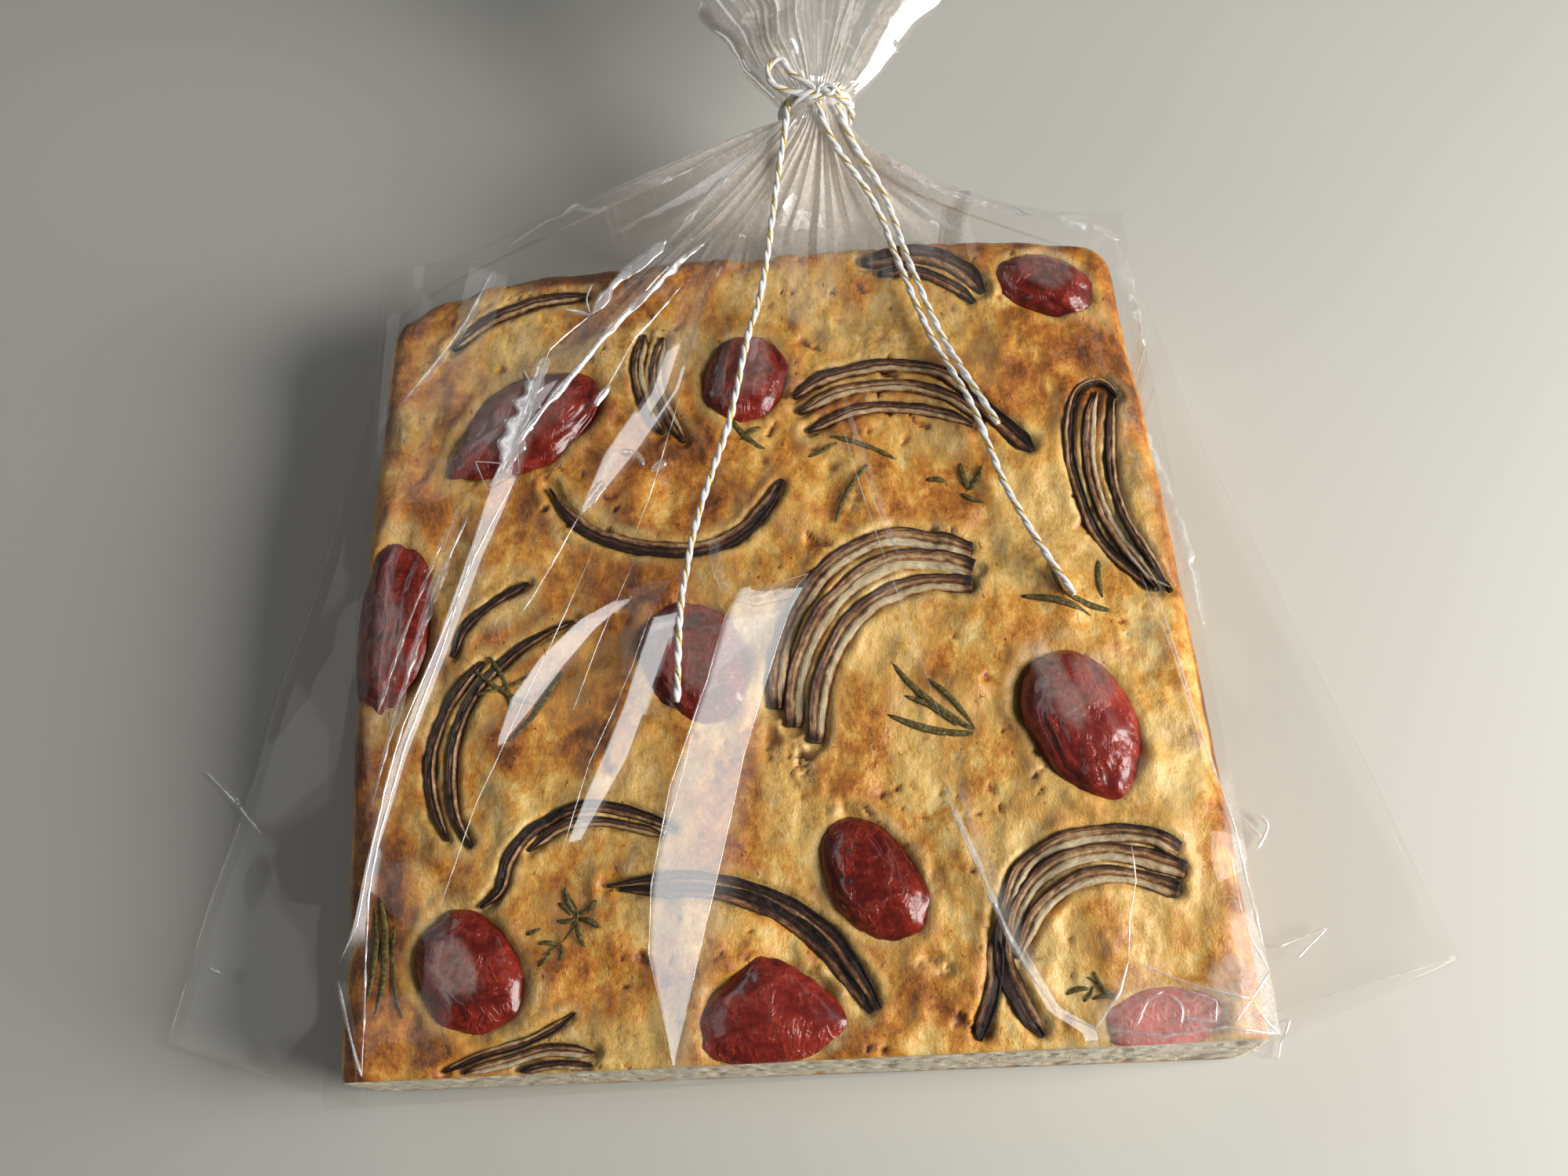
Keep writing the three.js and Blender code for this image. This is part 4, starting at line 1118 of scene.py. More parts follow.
def make_tomato(number, tomato, material):
    """A wrinkled, sunken roasted half tomato in its pocket. Gives back its points."""
    rings, around = 56, 88
    rise, sink = tomato.rise + 0.4, 5.5
    spots = np.arange(0, 6.2, 0.4)
    pocket_x = tomato.x + tomato.width / 2 * np.cos(spots)
    pocket_y = tomato.y + tomato.width / 2 * np.sin(spots)
    level = float(np.mean(soft_height(pocket_x, pocket_y)))

    # Its form, long way along u: from the top ring down, then tapered or pointed.
    slope = np.linspace(math.pi / 2, -math.pi / 2, rings)[:, None]
    spin = np.linspace(0, 2 * math.pi, around, endpoint=False)[None, :]
    flatness = np.sign(np.sin(slope)) * np.abs(np.sin(slope)) ** 1.25
    wide = np.cos(slope) ** 0.78
    circle = stack(2.2 * np.cos(spin), 2.2 * np.sin(spin))
    outline = 1 + 0.09 * noise(circle, 1.3, 300 + number) + 0.04 * noise(circle, 0.5, 310 + number)
    u = tomato.length / 2 * wide * np.cos(spin) * outline
    v = tomato.width / 2 * wide * np.sin(spin) * outline
    u = u * (1 - tomato.taper * 2 * v / tomato.width)
    v = v * (1 - tomato.point * np.abs(2 * u / tomato.length) ** 1.5)
    w = np.where(flatness > 0, rise, sink) * flatness + 0 * u
    body = stack(u, v, w)

    # Its wrinkled skin, and the dip in its middle.
    sway = stack(noise(body, 6, 320 + number), noise(body, 6, 330 + number), 0 * w)
    warp = body * (0.5, 1.0, 1.0) + 1.6 * sway
    creases, finer = (1 - np.abs(noise(warp, size, seed + number)) for size, seed in ((3.6, 340), (1.9, 350)))
    wrinkle = (creases**3 * 0.75 + finer**3 * 0.3) * tomato.wrinkles
    spread = 0.35 + 0.65 * smooth(np.hypot(2 * u / tomato.length, 2 * v / tomato.width), 0.2, 0.85)
    patchy = 0.35 + 0.65 * smooth(noise(body, 9, 360 + number), -0.35, 0.45)
    dip = np.exp(-((u / (tomato.length * 0.2)) ** 2) - (v / (tomato.width * 0.2)) ** 2)
    dip *= 0.9 if number % 3 != 2 else 0
    body[..., 2] -= (wrinkle * spread * patchy + dip) * smooth(w, -1, 1.5)
    body[..., :2] *= (1 - 0.035 * wrinkle * patchy)[..., None]

    # Its place: it droops over the loaf's rim, and the cut runs through it.
    turn = math.radians(tomato.turn)
    x = tomato.x + body[..., 0] * math.cos(turn) - body[..., 1] * math.sin(turn)
    y = tomato.y + body[..., 1] * math.cos(turn) + body[..., 0] * math.sin(turn)
    z = level + body[..., 2]
    if abs(tomato.x) > DROOP["from"]:
        z -= DROOP["bend"] * np.clip(np.abs(x) - DROOP["start"], 0, None) ** 2
    y = np.maximum(y, LOAF["near"] - 0.015 * x)
    points = stack(x, y, z).reshape(-1, 3)
    faces = grid_faces(rings, around, wrap=True)
    piece = add_piece(f"tomato_{number + 1}", points, faces, material)
    thin = tomato.thin * smooth(noise(body, 14, 370 + number), -0.9, 0.1)
    # fold carries the painted shade of the wrinkles.
    paint(piece, fold=np.clip(wrinkle * patchy, 0, 1), edge=1 - smooth(w, -0.3, 0.9), thin=thin)
    return points


def make_strand(strand, seed, heap):
    """A flat ribbed strip of onion: a dark skin stands up along its outer side, and its ends are charred."""
    path = curve_points(strand.line, 0.6)
    first, last = path[1] - path[0], path[-1] - path[-2]
    bends_left = first[0] * last[1] - first[1] * last[0] > 0
    side = side_of(path) * (-1 if bends_left else 1)
    length = length_of(path)
    share = np.linspace(0, 1, len(path))
    run = line_places(share * length)
    taper = np.minimum(1, np.minimum(strand.tips[0] + 5 * share, strand.tips[1] + 5 * (1 - share)))
    wide = lerp(*strand.width, share) if isinstance(strand.width, tuple) else strand.width
    half = wide / 2 * taper * (1 + 0.13 * noise(run, 5, seed))
    ground = soft_height(path[:, 0], path[:, 1]) + 0.35 * noise(run, 9, seed + 1)
    ends = 1 - smooth(np.minimum(share, 1 - share) * length, 0.2, 3.5)
    char = 0.5 * ends + (strand.dark - 0.35) * 0.8 + 0.15 * noise(run, 7, seed + 4)
    lines, layers, strips = [], [], []
    for across, height, tone in STRAND_SECTION:
        shift = half * (across + 0.06 * noise(run + across, 2.5, seed + 3))
        x = path[:, 0] + side[:, 0] * shift
        y = np.maximum(path[:, 1] + side[:, 1] * shift, LOAF["near"] + 0.3)
        rise = 1.8 * height if height < 0 else height * taper**0.5
        ribs = 0.3 * noise(line_places(share * length, 3 * across), 1.6, seed + 2) * (height > 0)
        lines.append(stack(x, y, ground + rise + ribs))
        layers.append(tone + char)
        strips.append(stack(share * length * MM, shift * MM, 0.37 * seed))
    heap.add(np.array(lines), layer=layers, strip=strips)


def make_onions(material):
    """One piece for each bundle of strands. Gives back all their points."""
    tops = []
    seeds = itertools.count(500, 7)
    for name, bundle in ONION.items():
        heap = Heap()
        for strand in bundle:
            make_strand(strand, next(seeds), heap)
        heap.piece(f"onion_{name}", "onion", material)
        tops += heap.points
    return np.vstack(tops)


def leaf_lines(foot, tip, width, seed, bend):
    """A leaf as lines along it: a middle rib and two edges that curl down."""
    foot, tip = np.array(foot, dtype=float), np.array(tip, dtype=float)
    ahead = tip - foot
    length = np.linalg.norm(ahead)
    ahead /= length
    side = np.array([-ahead[1], ahead[0]])
    share = np.linspace(0, 1, 14)
    half = width / 2 * np.sqrt(np.clip(1 - (2 * share - 0.95) ** 2 / 1.15, 0.01, 1))
    bow = np.sin(math.pi * share)
    middle = foot + ahead * (share * length)[:, None] + side * (bend * length * bow)[:, None]
    ground = soft_height(middle[:, 0], middle[:, 1]) + 0.65
    arch = ground + 0.54 * bow + 0.25 * noise(line_places(9 * share), 3, seed)
    lines = []
    for across, height in LEAF_SECTION:
        place = middle + side * (half * across)[:, None]
        lines.append(stack(place[:, 0], place[:, 1], arch + height * np.minimum(1, half)))
    return np.array(lines)


def make_herbs(material):
    """All rosemary and thyme in one piece. Gives back its points."""
    heap = Heap()
    leaves = [(*needle, 0.06 * (-1) ** number) for number, needle in enumerate(NEEDLES)]
    leaves += [(*leaf, 0.09 * (-1) ** number) for number, leaf in enumerate(THYME_LEAVES)]
    for number, (foot, tip, width, bend) in enumerate(leaves):
        lines = leaf_lines(foot, tip, width, 700 + number, bend)
        edges = [[abs(across)] * lines.shape[1] for across, height in LEAF_SECTION]
        heap.add(lines, across=edges)
    for stem in THYME_STEMS:
        path = curve_points(stem, 0.8)
        ground = soft_height(path[:, 0], path[:, 1]) + 0.6
        turn = np.linspace(0, 2 * math.pi, 6, endpoint=False)[:, None]
        across, up = STEM_RADIUS * np.cos(turn), STEM_RADIUS * np.sin(turn)
        lines = stack(path[:, 0] + across, path[:, 1], ground + up)
        heap.add(lines, across=np.full(lines.shape[:2], 0.6))
    heap.piece("herbs", "herb", material)
    return np.vstack(heap.points)


# ---------------------------------------------------------------- the film's taut surface

class TautFilm:
    """The height of film drawn over the loaf and its toppings, on a grid of 1 mm."""

    def __init__(self, solid_points):
        self.x = np.arange(FIELD["left"], FIELD["right"] + 1)
        self.y = np.arange(FIELD["near"], FIELD["far"] + 1)
        shape = (len(self.y), len(self.x))
        lowest = np.full(shape, LOAF["height"] - 6.0)
        np.maximum.at(lowest, self.cells(solid_points[:, 0], solid_points[:, 1]), solid_points[:, 2] + 0.7)
        spread = lowest.copy()
        for shift in ((1, 0), (-1, 0), (0, 1), (0, -1)):
            spread = np.maximum(spread, np.roll(lowest, shift, axis=(0, 1)))
        pinned, level = self.twine_contacts(shape)
        least = np.where(pinned, np.minimum(spread, level), spread)
        height = np.maximum(least, LOAF["height"] + FILM_GAP - 1.0)
        grid_x, grid_y = np.meshgrid(self.x, self.y)
        beyond = grid_y > LOAF["far"] + 3
        fixed = (np.abs(grid_x) > half_width(grid_y) + 1) | beyond
        fixed_level = LOAF["height"] + FILM_GAP - np.where(beyond, 1.5, 4.5)
        for _ in range(TIGHTEN_ROUNDS):
            height = np.maximum(self.mean(height), least)
            height = np.where(pinned, level, height)
            height = np.where(fixed, fixed_level, height)
        for _ in range(SOFTEN_ROUNDS):
            height = self.mean(height)
            height = np.where(pinned, 0.5 * level + 0.5 * height, height)
        self.height = height + 0.25

    def cells(self, x, y):
        """The row and column of the grid point that is nearest to each place."""
        row = np.clip(np.round(y).astype(int) - FIELD["near"], 0, len(self.y) - 1)
        column = np.clip(np.round(x).astype(int) - FIELD["left"], 0, len(self.x) - 1)
        return row, column

    def mean(self, height):
        return sum(np.roll(height, shift, axis) for axis in (0, 1) for shift in (1, -1)) / 4

    def twine_contacts(self, shape):
        """Grid places under the twine, and the height at which the film touches it."""
        pinned = np.zeros(shape, dtype=bool)
        level = np.zeros(shape)
        for points in TAILS.values():
            for x, y, z in curve_points(points, 0.5):
                if y <= TWINE["lifts"]:
                    row, column = self.cells(x, y)
                    under = (row, slice(column - 1, column + 2))
                    pinned[under] = True
                    level[under] = z - TWINE["diameter"] / 2 - 0.15
        return pinned, level

    def at(self, x, y):
        fx = np.clip(x - FIELD["left"], 0, len(self.x) - 1.001)
        fy = np.clip(y - FIELD["near"], 0, len(self.y) - 1.001)
        column, row = fx.astype(int), fy.astype(int)
        a, b = fx - column, fy - row
        low = self.height[row, column] * (1 - a) + self.height[row, column + 1] * a
        high = self.height[row + 1, column] * (1 - a) + self.height[row + 1, column + 1] * a
        return low * (1 - b) + high * b


# ---------------------------------------------------------------- the bag's sections

def foot_half(y):
    return lerp(half_width(y) + FILM_GAP + 1, SHOULDER["corner_half"], smooth(y, 40, SHOULDER["start"]))


def wing_half(y):
    foot = foot_half(y) + 1
    slant = lerp(foot, WING["reach"], np.clip((y - BAG_NEAR) / (WING["corner"] - BAG_NEAR), 0, 1))
    taper = lerp(WING["reach"], foot, np.clip((y - WING["corner"]) / (WING["far"] - WING["corner"]), 0, 1))
    return float(np.where(y < WING["corner"], slant, taper))


def wing_lift(x, y):
    out = np.clip(np.abs(x) - foot_half(y), 0, None)
    wave = 0.5 + 0.5 * np.sin(2 * math.pi * (y + x / 3) / WING["wave"])
    return WING["lift"] * wave * np.clip(out / 12, 0, 1)


def value_along(points, y):
    """The value of (distance along, value) points at y, in either order of distance."""
    distances, values = zip(*sorted(points))
    return float(np.interp(y, distances, values))


def mirror_slope(side, x):
    """The slope across the bag at which film mirrors the long lamp of that side to a viewer above."""
    if side == "left":
        return 0.25 + 0.0019 * x + 1.5e-6 * x * x
    return -0.31 + 0.0019 * x


# Where each stop over the loaf lies: the gap between two folds, and the share of the way over it.
STEPS_IN_FOLD = 10
GAPS = len(FOLDS) + 1
TOP_GAP = np.repeat(np.arange(GAPS)[::-1], STEPS_IN_FOLD)
TOP_SHARE = np.tile(1 - np.arange(STEPS_IN_FOLD) / STEPS_IN_FOLD, GAPS)


def top_profile(y, taut):
    """Place, height and gloss of the stops over the loaf, from right to left, at this distance along."""
    def over_gaps(values):
        return lerp(values[TOP_GAP], values[TOP_GAP + 1], TOP_SHARE)

    edge = float(half_width(y)) + FILM_GAP
    folds = [value_along([(py, px) for px, py in fold], y) for fold in FOLDS.values()]
    places = np.concatenate([[-edge], np.clip(folds, -edge + 0.2, edge - 0.2), [edge]])
    places = np.maximum.accumulate(places)
    taut_levels = taut.at(places, np.full(len(places), y))
    levels = taut_levels.copy()
    flat = np.zeros(GAPS)
    for name, (side, shares) in FACETS.items():
        left = list(FOLDS).index(name) + 1
        flat[left] = value_along(shares, y)
        width = places[left + 1] - places[left]
        rise = flat[left] * mirror_slope(side, (places[left] + places[left + 1]) / 2) * width
        if side == "left":
            levels[left + 1] = max(levels[left + 1], levels[left] + rise)
        levels[left] = max(levels[left], levels[left + 1] - rise)
    x = over_gaps(places)
    own = taut.at(x, np.full(len(x), y))
    draped = own + over_gaps(levels - taut_levels)
    straight = np.maximum(over_gaps(levels), own - 0.5)
    share = smooth(flat[TOP_GAP], 0.05, 0.5)
    return x, lerp(draped, straight, share), 0.07 + 0.93 * smooth(flat[TOP_GAP], 0.4, 0.9)


def bag_stops():
    """The stops of one loop round the bag: zone, side, share of the zone, and angle at the neck."""
    zones = [
        ("wing", 1, 26, 0, 14), ("side", 1, 9, 14, 30), ("top", 0, len(TOP_GAP), 30, 150),
        ("side", -1, 9, 150, 166), ("wing", -1, 26, 166, 180), ("bottom", 0, 60, 180, 360),
    ]
    stops = []
    for zone, side, count, start, end in zones:
        for share in np.arange(count) / count:
            angle = math.radians(lerp(start, end, share))
            stops.append((zone, side, 1 - share if side == -1 else share, angle))
    return (np.array(column) for column in zip(*stops))


ZONE, SIDE, SHARE, ANGLE = bag_stops()
TOP = ZONE == "top"


def loaf_section(y, taut):
    """Places, heights and gloss of all stops in the section across the loaf at y."""
    x, z = np.zeros(len(ZONE)), np.zeros(len(ZONE))
    gloss = np.full(len(ZONE), 0.05)
    foot, edge, reach = float(foot_half(y)), float(half_width(y)) + FILM_GAP, wing_half(y)
    x[TOP], z[TOP], gloss[TOP] = top_profile(y, taut)
    # The film bows down to the near wall.
    near_drop = 3.0 * (1 - smooth(y, BAG_NEAR, BAG_NEAR + 4.5)) ** 2
    z[TOP] -= near_drop
    wall = ZONE == "side"
    side, share = SIDE[wall], SHARE[wall]
    rim = taut.at(side * edge, np.full(len(side), y)) - near_drop
    ripple = 0.9 * np.sin(y / 7.0 + 3 * share) * np.sin(math.pi * share)
    x[wall] = side * (lerp(foot, edge, np.sqrt(share)) + ripple)
    z[wall] = lerp(WING["thickness"], rim, share)
    gloss[wall] = 0.12
    wing = ZONE == "wing"
    x[wing] = SIDE[wing] * lerp(reach, foot, SHARE[wing])
    z[wing] = WING["thickness"] + wing_lift(x[wing], y)
    bottom = ZONE == "bottom"
    x[bottom] = lerp(-reach, reach, SHARE[bottom])
    z[bottom] = wing_lift(x[bottom], y)
    return x, z, gloss


def crush(points, seed, size, depth):
    """Sharp random creases: how far each point moves, from straight-flanked waves in many directions."""
    rng = np.random.default_rng(seed)
    total = np.zeros(points.shape[:-1])
    for _ in range(7):
        direction = rng.normal(size=3)
        direction /= np.linalg.norm(direction)
        wave = size * rng.uniform(0.6, 1.6)
        bend = 0.9 * noise(points, size * 1.6, int(rng.integers(1000)))
        phase = 2 * math.pi * (points @ direction) / wave + rng.uniform(0, 6) + bend
        total += 2 / math.pi * np.arcsin(np.sin(phase))
    return depth * total / 3


def shoulder_section(t, wide_x, wide_z, pleats):
    """Between the loaf and the neck: stops run straight in, with pleats that fan from the neck."""
    round_x = NECK["x"] + NECK["radius"] * np.cos(ANGLE)
    round_z = NECK["z"] + NECK["radius"] * np.sin(ANGLE)
    outward = np.clip(wide_x / SHOULDER["corner_half"], -1, 1)
    power = lerp(0.9, 1.9, (outward + 1) / 2)
    middle = lerp(LOAF["height"] / 2, NECK["z"], t)
    thin = 1 - 0.55 * math.sin(math.pi * t**0.6) * np.abs(outward) ** 3
    strength = math.sin(math.pi * min(1, t * 1.04)) ** 0.7
    x = lerp(wide_x, round_x, 1 - (1 - t) ** power) + strength * pleats * np.cos(ANGLE)
    z = middle + (lerp(wide_z, round_z, t) - middle) * thin + 1.5 * strength * pleats * np.sin(ANGLE)
    return x, z


def ruff_ring(share, scale=1.0):
    """A ring of the ruff, at this share of the way from the neck to its tip."""
    flute = scale * (1 + RUFF["depth"] * share * np.cos(RUFF["flutes"] * ANGLE + 0.7))
    opened = share**0.8
    wide = lerp(NECK["radius"], RUFF["half_width"], opened) * flute
    high = lerp(NECK["radius"], RUFF["half_height"], opened) * flute
    tip = RUFF["tip"] - RUFF["notch"] * np.sin(RUFF["flutes"] * 0.5 * ANGLE) ** 2
    x = lerp(NECK["x"], RUFF["x"], share) + wide * np.cos(ANGLE)
    z = lerp(NECK["z"], RUFF["z"], share) + high * np.sin(ANGLE)
    return stack(x, lerp(NECK["y"] + NECK["length"] / 2, tip, share), z)


def pleat_heights(seed):
    """One height for each stop, from -1 to 1, in sharp uneven pleats."""
    rng = np.random.default_rng(seed)
    ridges, heights = [], []
    ridge = 0
    while ridge < len(ANGLE):
        ridges.append(ridge)
        ridge += int(rng.integers(2, 6))
        heights.append(rng.uniform(0.4, 1.0) * (-1) ** len(heights))
    return np.interp(np.arange(len(ANGLE)), ridges, heights, period=len(ANGLE))


def spot_haze(x, y):
    """How milky the film is where it sticks to wet toppings or is crushed, and where glare is painted."""
    total = np.zeros(np.broadcast(x, y).shape)
    ragged = 0.14 * noise(stack(x, y), 3.0, 55)
    for sx, sy, across, length, turn, strength in MILK_AND_GLARE_SPOTS:
        u, v = turned(x, y, sx, sy, turn)
        distance = np.hypot(u / across, v / length) + ragged
        total = np.maximum(total, strength * (1 - smooth(distance, 0.82, 1.1)))
    return total


def ray_haze(x, y):
    """Milky rays that fan out from the neck over the loaf's far part."""
    dx, dy = x - NECK["x"], NECK["y"] - y
    reach = np.hypot(dx, dy)
    angle = np.degrees(np.arctan2(dx, dy))
    places = line_places(angle)
    streaks = smooth(0.6 * noise(places, 5.5, 51) + 0.4 * noise(places, 2.2, 52), 0.0, 0.75)
    long = 75 + 35 * noise(places, 9, 53) + 25 * smooth(-angle, 10, 60)
    fade = 1 - smooth(reach / long, 0.25, 1.0)
    return (0.01 + 0.27 * streaks) * fade + 0.8 * np.exp(-((reach / GATHER) ** 2))


# ---------------------------------------------------------------- the film

def film_over_loaf(taut, pleats):
    """The film's sections from the near end to the shoulder: points, gloss, and milkiness with painted
    reflections.
    """
    near = BAG_NEAR + np.array([0, 0.5, 1.2, 2.2])
    stations = np.concatenate([near, np.arange(BAG_NEAR + 3.5, SHOULDER["start"], 1.35)])
    sections, glosses, hazes = [], [], []
    for y in stations:
        x, z, gloss = loaf_section(y, taut)
        fan = smooth(y, 30, SHOULDER["start"]) ** 1.5
        sections.append(stack(x, y, z + PLEAT * fan * pleats * TOP))
        glosses.append(np.maximum(gloss, 0.14 * fan * TOP * (np.abs(x) < 84)))
        # Painted reflection: where the facets mirror a lamp the film is also painted white; rays and spots
        # add milkiness and painted glare.
        hazes.append(np.where(TOP, 0.17 * smooth(gloss, 0.5, 1.0) + ray_haze(x, y) + spot_haze(x, y), 0.001))
    points = np.array(sections)
    wings = (ZONE == "wing") * np.sin(math.pi * SHARE) ** 0.5
    points[..., 2] += 0.08 * noise(points, 24, 65) * TOP + crush(points, 66, 34, 1.0) * wings
    return points, np.array(glosses), np.array(hazes)


def film_shoulder(taut, pleats):
    """The film's sections from the loaf's far end to the neck: points, gloss and milkiness."""
    wide_x, wide_z, wide_gloss = loaf_section(SHOULDER["start"], taut)
    steps = np.linspace(0, 1, 47)
    sections = []
    for t in steps:
        x, z = shoulder_section(t, wide_x, wide_z + PLEAT * pleats * TOP, pleats)
        sections.append(stack(x, lerp(SHOULDER["start"], NECK["y"] - NECK["length"] / 2, t), z))
    points = np.array(sections)
    steps = steps[:, None]
    points[..., 2] += crush(points, 63, 17, 0.9) * np.sin(math.pi * steps) ** 0.6 * np.sin(ANGLE)
    gloss = lerp(wide_gloss, 0.6, smooth(steps, 0.1, 0.6)) * (1 - 0.75 * smooth(-points[..., 0], 25, 60))
    return points, gloss, ray_haze(points[..., 0], points[..., 1])


def film_ruff(pleats):
    """The ruff from the neck to its tip and back inside, fluted and crumpled: points, gloss, and milkiness
    with painted glints.
    """
    out_shares, in_shares = np.linspace(0, 1, 71), np.linspace(0, 1, 25)
    rings = [ruff_ring(share) for share in out_shares]
    rings += [ruff_ring(lerp(0.985, 0.5, share), lerp(0.97, 0.55, share)) for share in in_shares]
    rings = np.array(rings)
    growth = np.clip((rings[..., 1] - NECK["y"] - 4) / 26, 0, 1)
    centre = stack(lerp(NECK["x"], RUFF["x"], growth), 0 * growth, lerp(NECK["z"], RUFF["z"], growth))
    radial = (rings - centre) * (1, 0, 1)
    radial /= np.maximum(np.linalg.norm(radial, axis=-1, keepdims=True), 1e-6)
    creases = crush(rings, 61, 24, 3.4) + crush(rings, 62, 9, 1.0)
    points = rings + radial * (creases * growth + 2.1 * pleats * growth**0.6)[..., None]
    places = line_places(np.degrees(ANGLE))
    # Painted glints: the ruff is made milky in streaks, partly crushed film and partly standing in for its
    # highlights.
    streaks = 0.35 + 1.3 * smooth(0.6 * noise(places, 9, 57) + 0.4 * noise(places, 3.5, 58), -0.1, 0.5)
    haze = np.concatenate([0.34 * (1 - out_shares) ** 2 + 0.1, 0.07 + 0 * in_shares])[:, None] * streaks
    return points, np.full(haze.shape, 0.8), haze


def make_film(material, solid_points):
    """The whole bag as one closed single skin, in loops of stops from the near end to inside the ruff."""
    taut = TautFilm(solid_points)
    pleats, ruff_pleats = pleat_heights(41), pleat_heights(43)
    parts = [film_over_loaf(taut, pleats), film_shoulder(taut, pleats), film_ruff(ruff_pleats)]
    loops, gloss, haze = (np.concatenate(arrays) for arrays in zip(*parts))
    loops[..., 2] = np.maximum(loops[..., 2], 0.0)
    rows, columns = gloss.shape
    points = np.vstack([loops.reshape(-1, 3), loops[0].mean(axis=0)])
    faces = grid_faces(rows, columns, wrap=True)
    faces += [[stop, rows * columns, (stop + 1) % columns] for stop in range(columns)]
    film = add_piece("bag_film", points, faces, material)
    paint(film, haze=np.append(haze, 0.01), gloss=np.append(gloss, 0.2))
    kinds = np.repeat(["loaf", "shoulder", "ruff"], [len(points) for points, _, _ in parts])
    sharpen(film, kinds, columns, pleats, ruff_pleats)
    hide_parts("bag")
    return film


def sharpen(film, kinds, columns, pleats, ruff_pleats):
    """Marks the folds' lines and the pleats' ridges as sharp, so that light breaks along them."""
    mesh = film.data
    ends = np.zeros(len(mesh.edges) * 2, dtype=int)
    mesh.edges.foreach_get("vertices", ends)
    row, column = np.divmod(ends.reshape(-1, 2), columns)
    runs_along = (column[:, 0] == column[:, 1]) & (row.max(axis=1) < len(kinds))
    is_fold = np.zeros(columns, dtype=bool)
    is_fold[np.argmax(TOP) + STEPS_IN_FOLD * np.arange(1, GAPS)] = True

    def turns(heights):
        before, after = np.roll(heights, 1), np.roll(heights, -1)
        return (heights - before) * (after - heights) < 0

    station, where = np.minimum(row[:, 0], len(kinds) - 1), column[:, 0]
    kind = kinds[station]
    pleated = (kind == "shoulder") | ((kind == "loaf") & (station > np.sum(kinds == "loaf") * 0.72))
    ridge = ((kind == "loaf") & is_fold[where]) | (pleated & turns(pleats)[where])
    ridge |= (kind == "ruff") & turns(ruff_pleats)[where]
    layer = mesh.attributes.new("sharp_edge", "BOOLEAN", "EDGE")
    layer.data.foreach_set("value", runs_along & ridge)


def make_creases(film, material):
    """Thin ribbons on the film along its sharp creases, where crushed film turns white; the white is partly
    painted glints.
    """
    tree = BVHTree.FromObject(film, bpy.context.evaluated_depsgraph_get())
    heap = Heap()
    offsets = np.array([-1, -0.75, -0.35, 0, 0.35, 0.75, 1])
    for number, (line, width, strength, soft) in enumerate(CREASES_AND_GLINTS):
        rounded = len(line) < 4 or width > 1
        path = curve_points(line, 0.7) if rounded else straight_points(line, 0.7)
        side = side_of(path)
        share = np.linspace(0, 1, len(path))
        run = share * length_of(line)
        from_end = np.minimum(share, 1 - share)
        uneven = 1 + 0.45 * noise(line_places(run), 3.0, 900 + number)
        half = width / 2 * np.minimum(1, 0.35 + 6 * from_end) * uneven
        rise = np.minimum(0.8 * half, 0.5)
        top = []
        for offset in offsets:
            place = path + side * (half * offset)[:, None]
            levels = np.array([film_level(tree, x, y) for x, y in place])
            crumple = 0.3 * rise * noise(line_places(run, offset), 1.1, 970 + number)
            top.append(stack(place[:, 0], place[:, 1], levels + 0.1 + (rise + crumple) * (1 - offset**2)))
        top = np.array(top)
        fade = 1 - soft * np.abs(offsets) ** 1.5
        patchy = strength * (0.75 + 0.35 * noise(line_places(run), 4.0, 950 + number))
        # How white each ribbon is: crushed film and painted glints.
        milk_and_glint = np.concatenate([fade, fade[::-1]])[:, None] * patchy * np.minimum(1, 0.2 + 5 * from_end)
        heap.add(np.concatenate([top, top[::-1] - (0, 0, CREASE_THICKNESS)]), haze=np.clip(milk_and_glint, 0, 1))
    heap.piece("bag_crease_glints", "film", material)


def film_level(tree, x, y):
    """The height of the film's upper face at a place, in millimetres about the loaf."""
    hit = tree.ray_cast(Vector(to_row((x, y, 150))), Vector((0, 0, -1)))[0]
    return 1.0 if hit is None else hit.z / MM


# ---------------------------------------------------------------- twine

def frames_along(path):
    """Two directions square to a path, turned as little as possible from point to point."""
    tangent = np.gradient(path, axis=0)
    tangent /= np.linalg.norm(tangent, axis=1)[:, None]
    up = np.array([0.0, 0.0, 1.0])
    if abs(tangent[0] @ up) > 0.9:
        up = np.array([1.0, 0.0, 0.0])
    side = np.cross(tangent[0], up)
    sides = []
    for t in tangent:
        side = side - t * (side @ t)
        side /= np.linalg.norm(side)
        sides.append(side)
    return np.array(sides), np.cross(sides, tangent)


def helix(path, radius, phase):
    """A line that winds round the path."""
    sides, ups = frames_along(path)
    angle = (phase + 2 * math.pi * run_along(path) / TWINE["lay"])[:, None]
    return path + radius * (sides * np.cos(angle) + ups * np.sin(angle))


def add_tube(heap, path, radius, sides_count, seed=None):
    """Adds a round tube along the path. With a seed, it also says where its fibres lie."""
    sides, ups = frames_along(path)
    turn = np.linspace(0, 2 * math.pi, sides_count, endpoint=False)[:, None, None]
    thick = np.broadcast_to(radius, (len(path),))
    lines = path + thick[:, None] * (sides * np.cos(turn) + ups * np.sin(turn))
    strip = {} if seed is None else {
        "strip": stack(run_along(path) * MM, turn[..., 0] * thick.mean() * MM, seed),
    }
    heap.add(lines, **strip)


def twist(path, white, gold):
    """Two soft white plies and one thin gold thread that lies between them, wound round a path."""
    fine = curve_points(path, 0.35)
    run = np.linspace(0, length_of(fine), len(fine))
    ply = TWINE["ply"] * (1 + 0.14 * noise(line_places(run), 2.2, len(fine)))
    for strand in range(2):
        add_tube(white, helix(fine, TWINE["ply_offset"], math.pi * strand), ply, 10, seed=strand * 0.1)
    add_tube(gold, helix(fine, TWINE["thread_offset"], math.pi / 2), TWINE["thread"], 6)


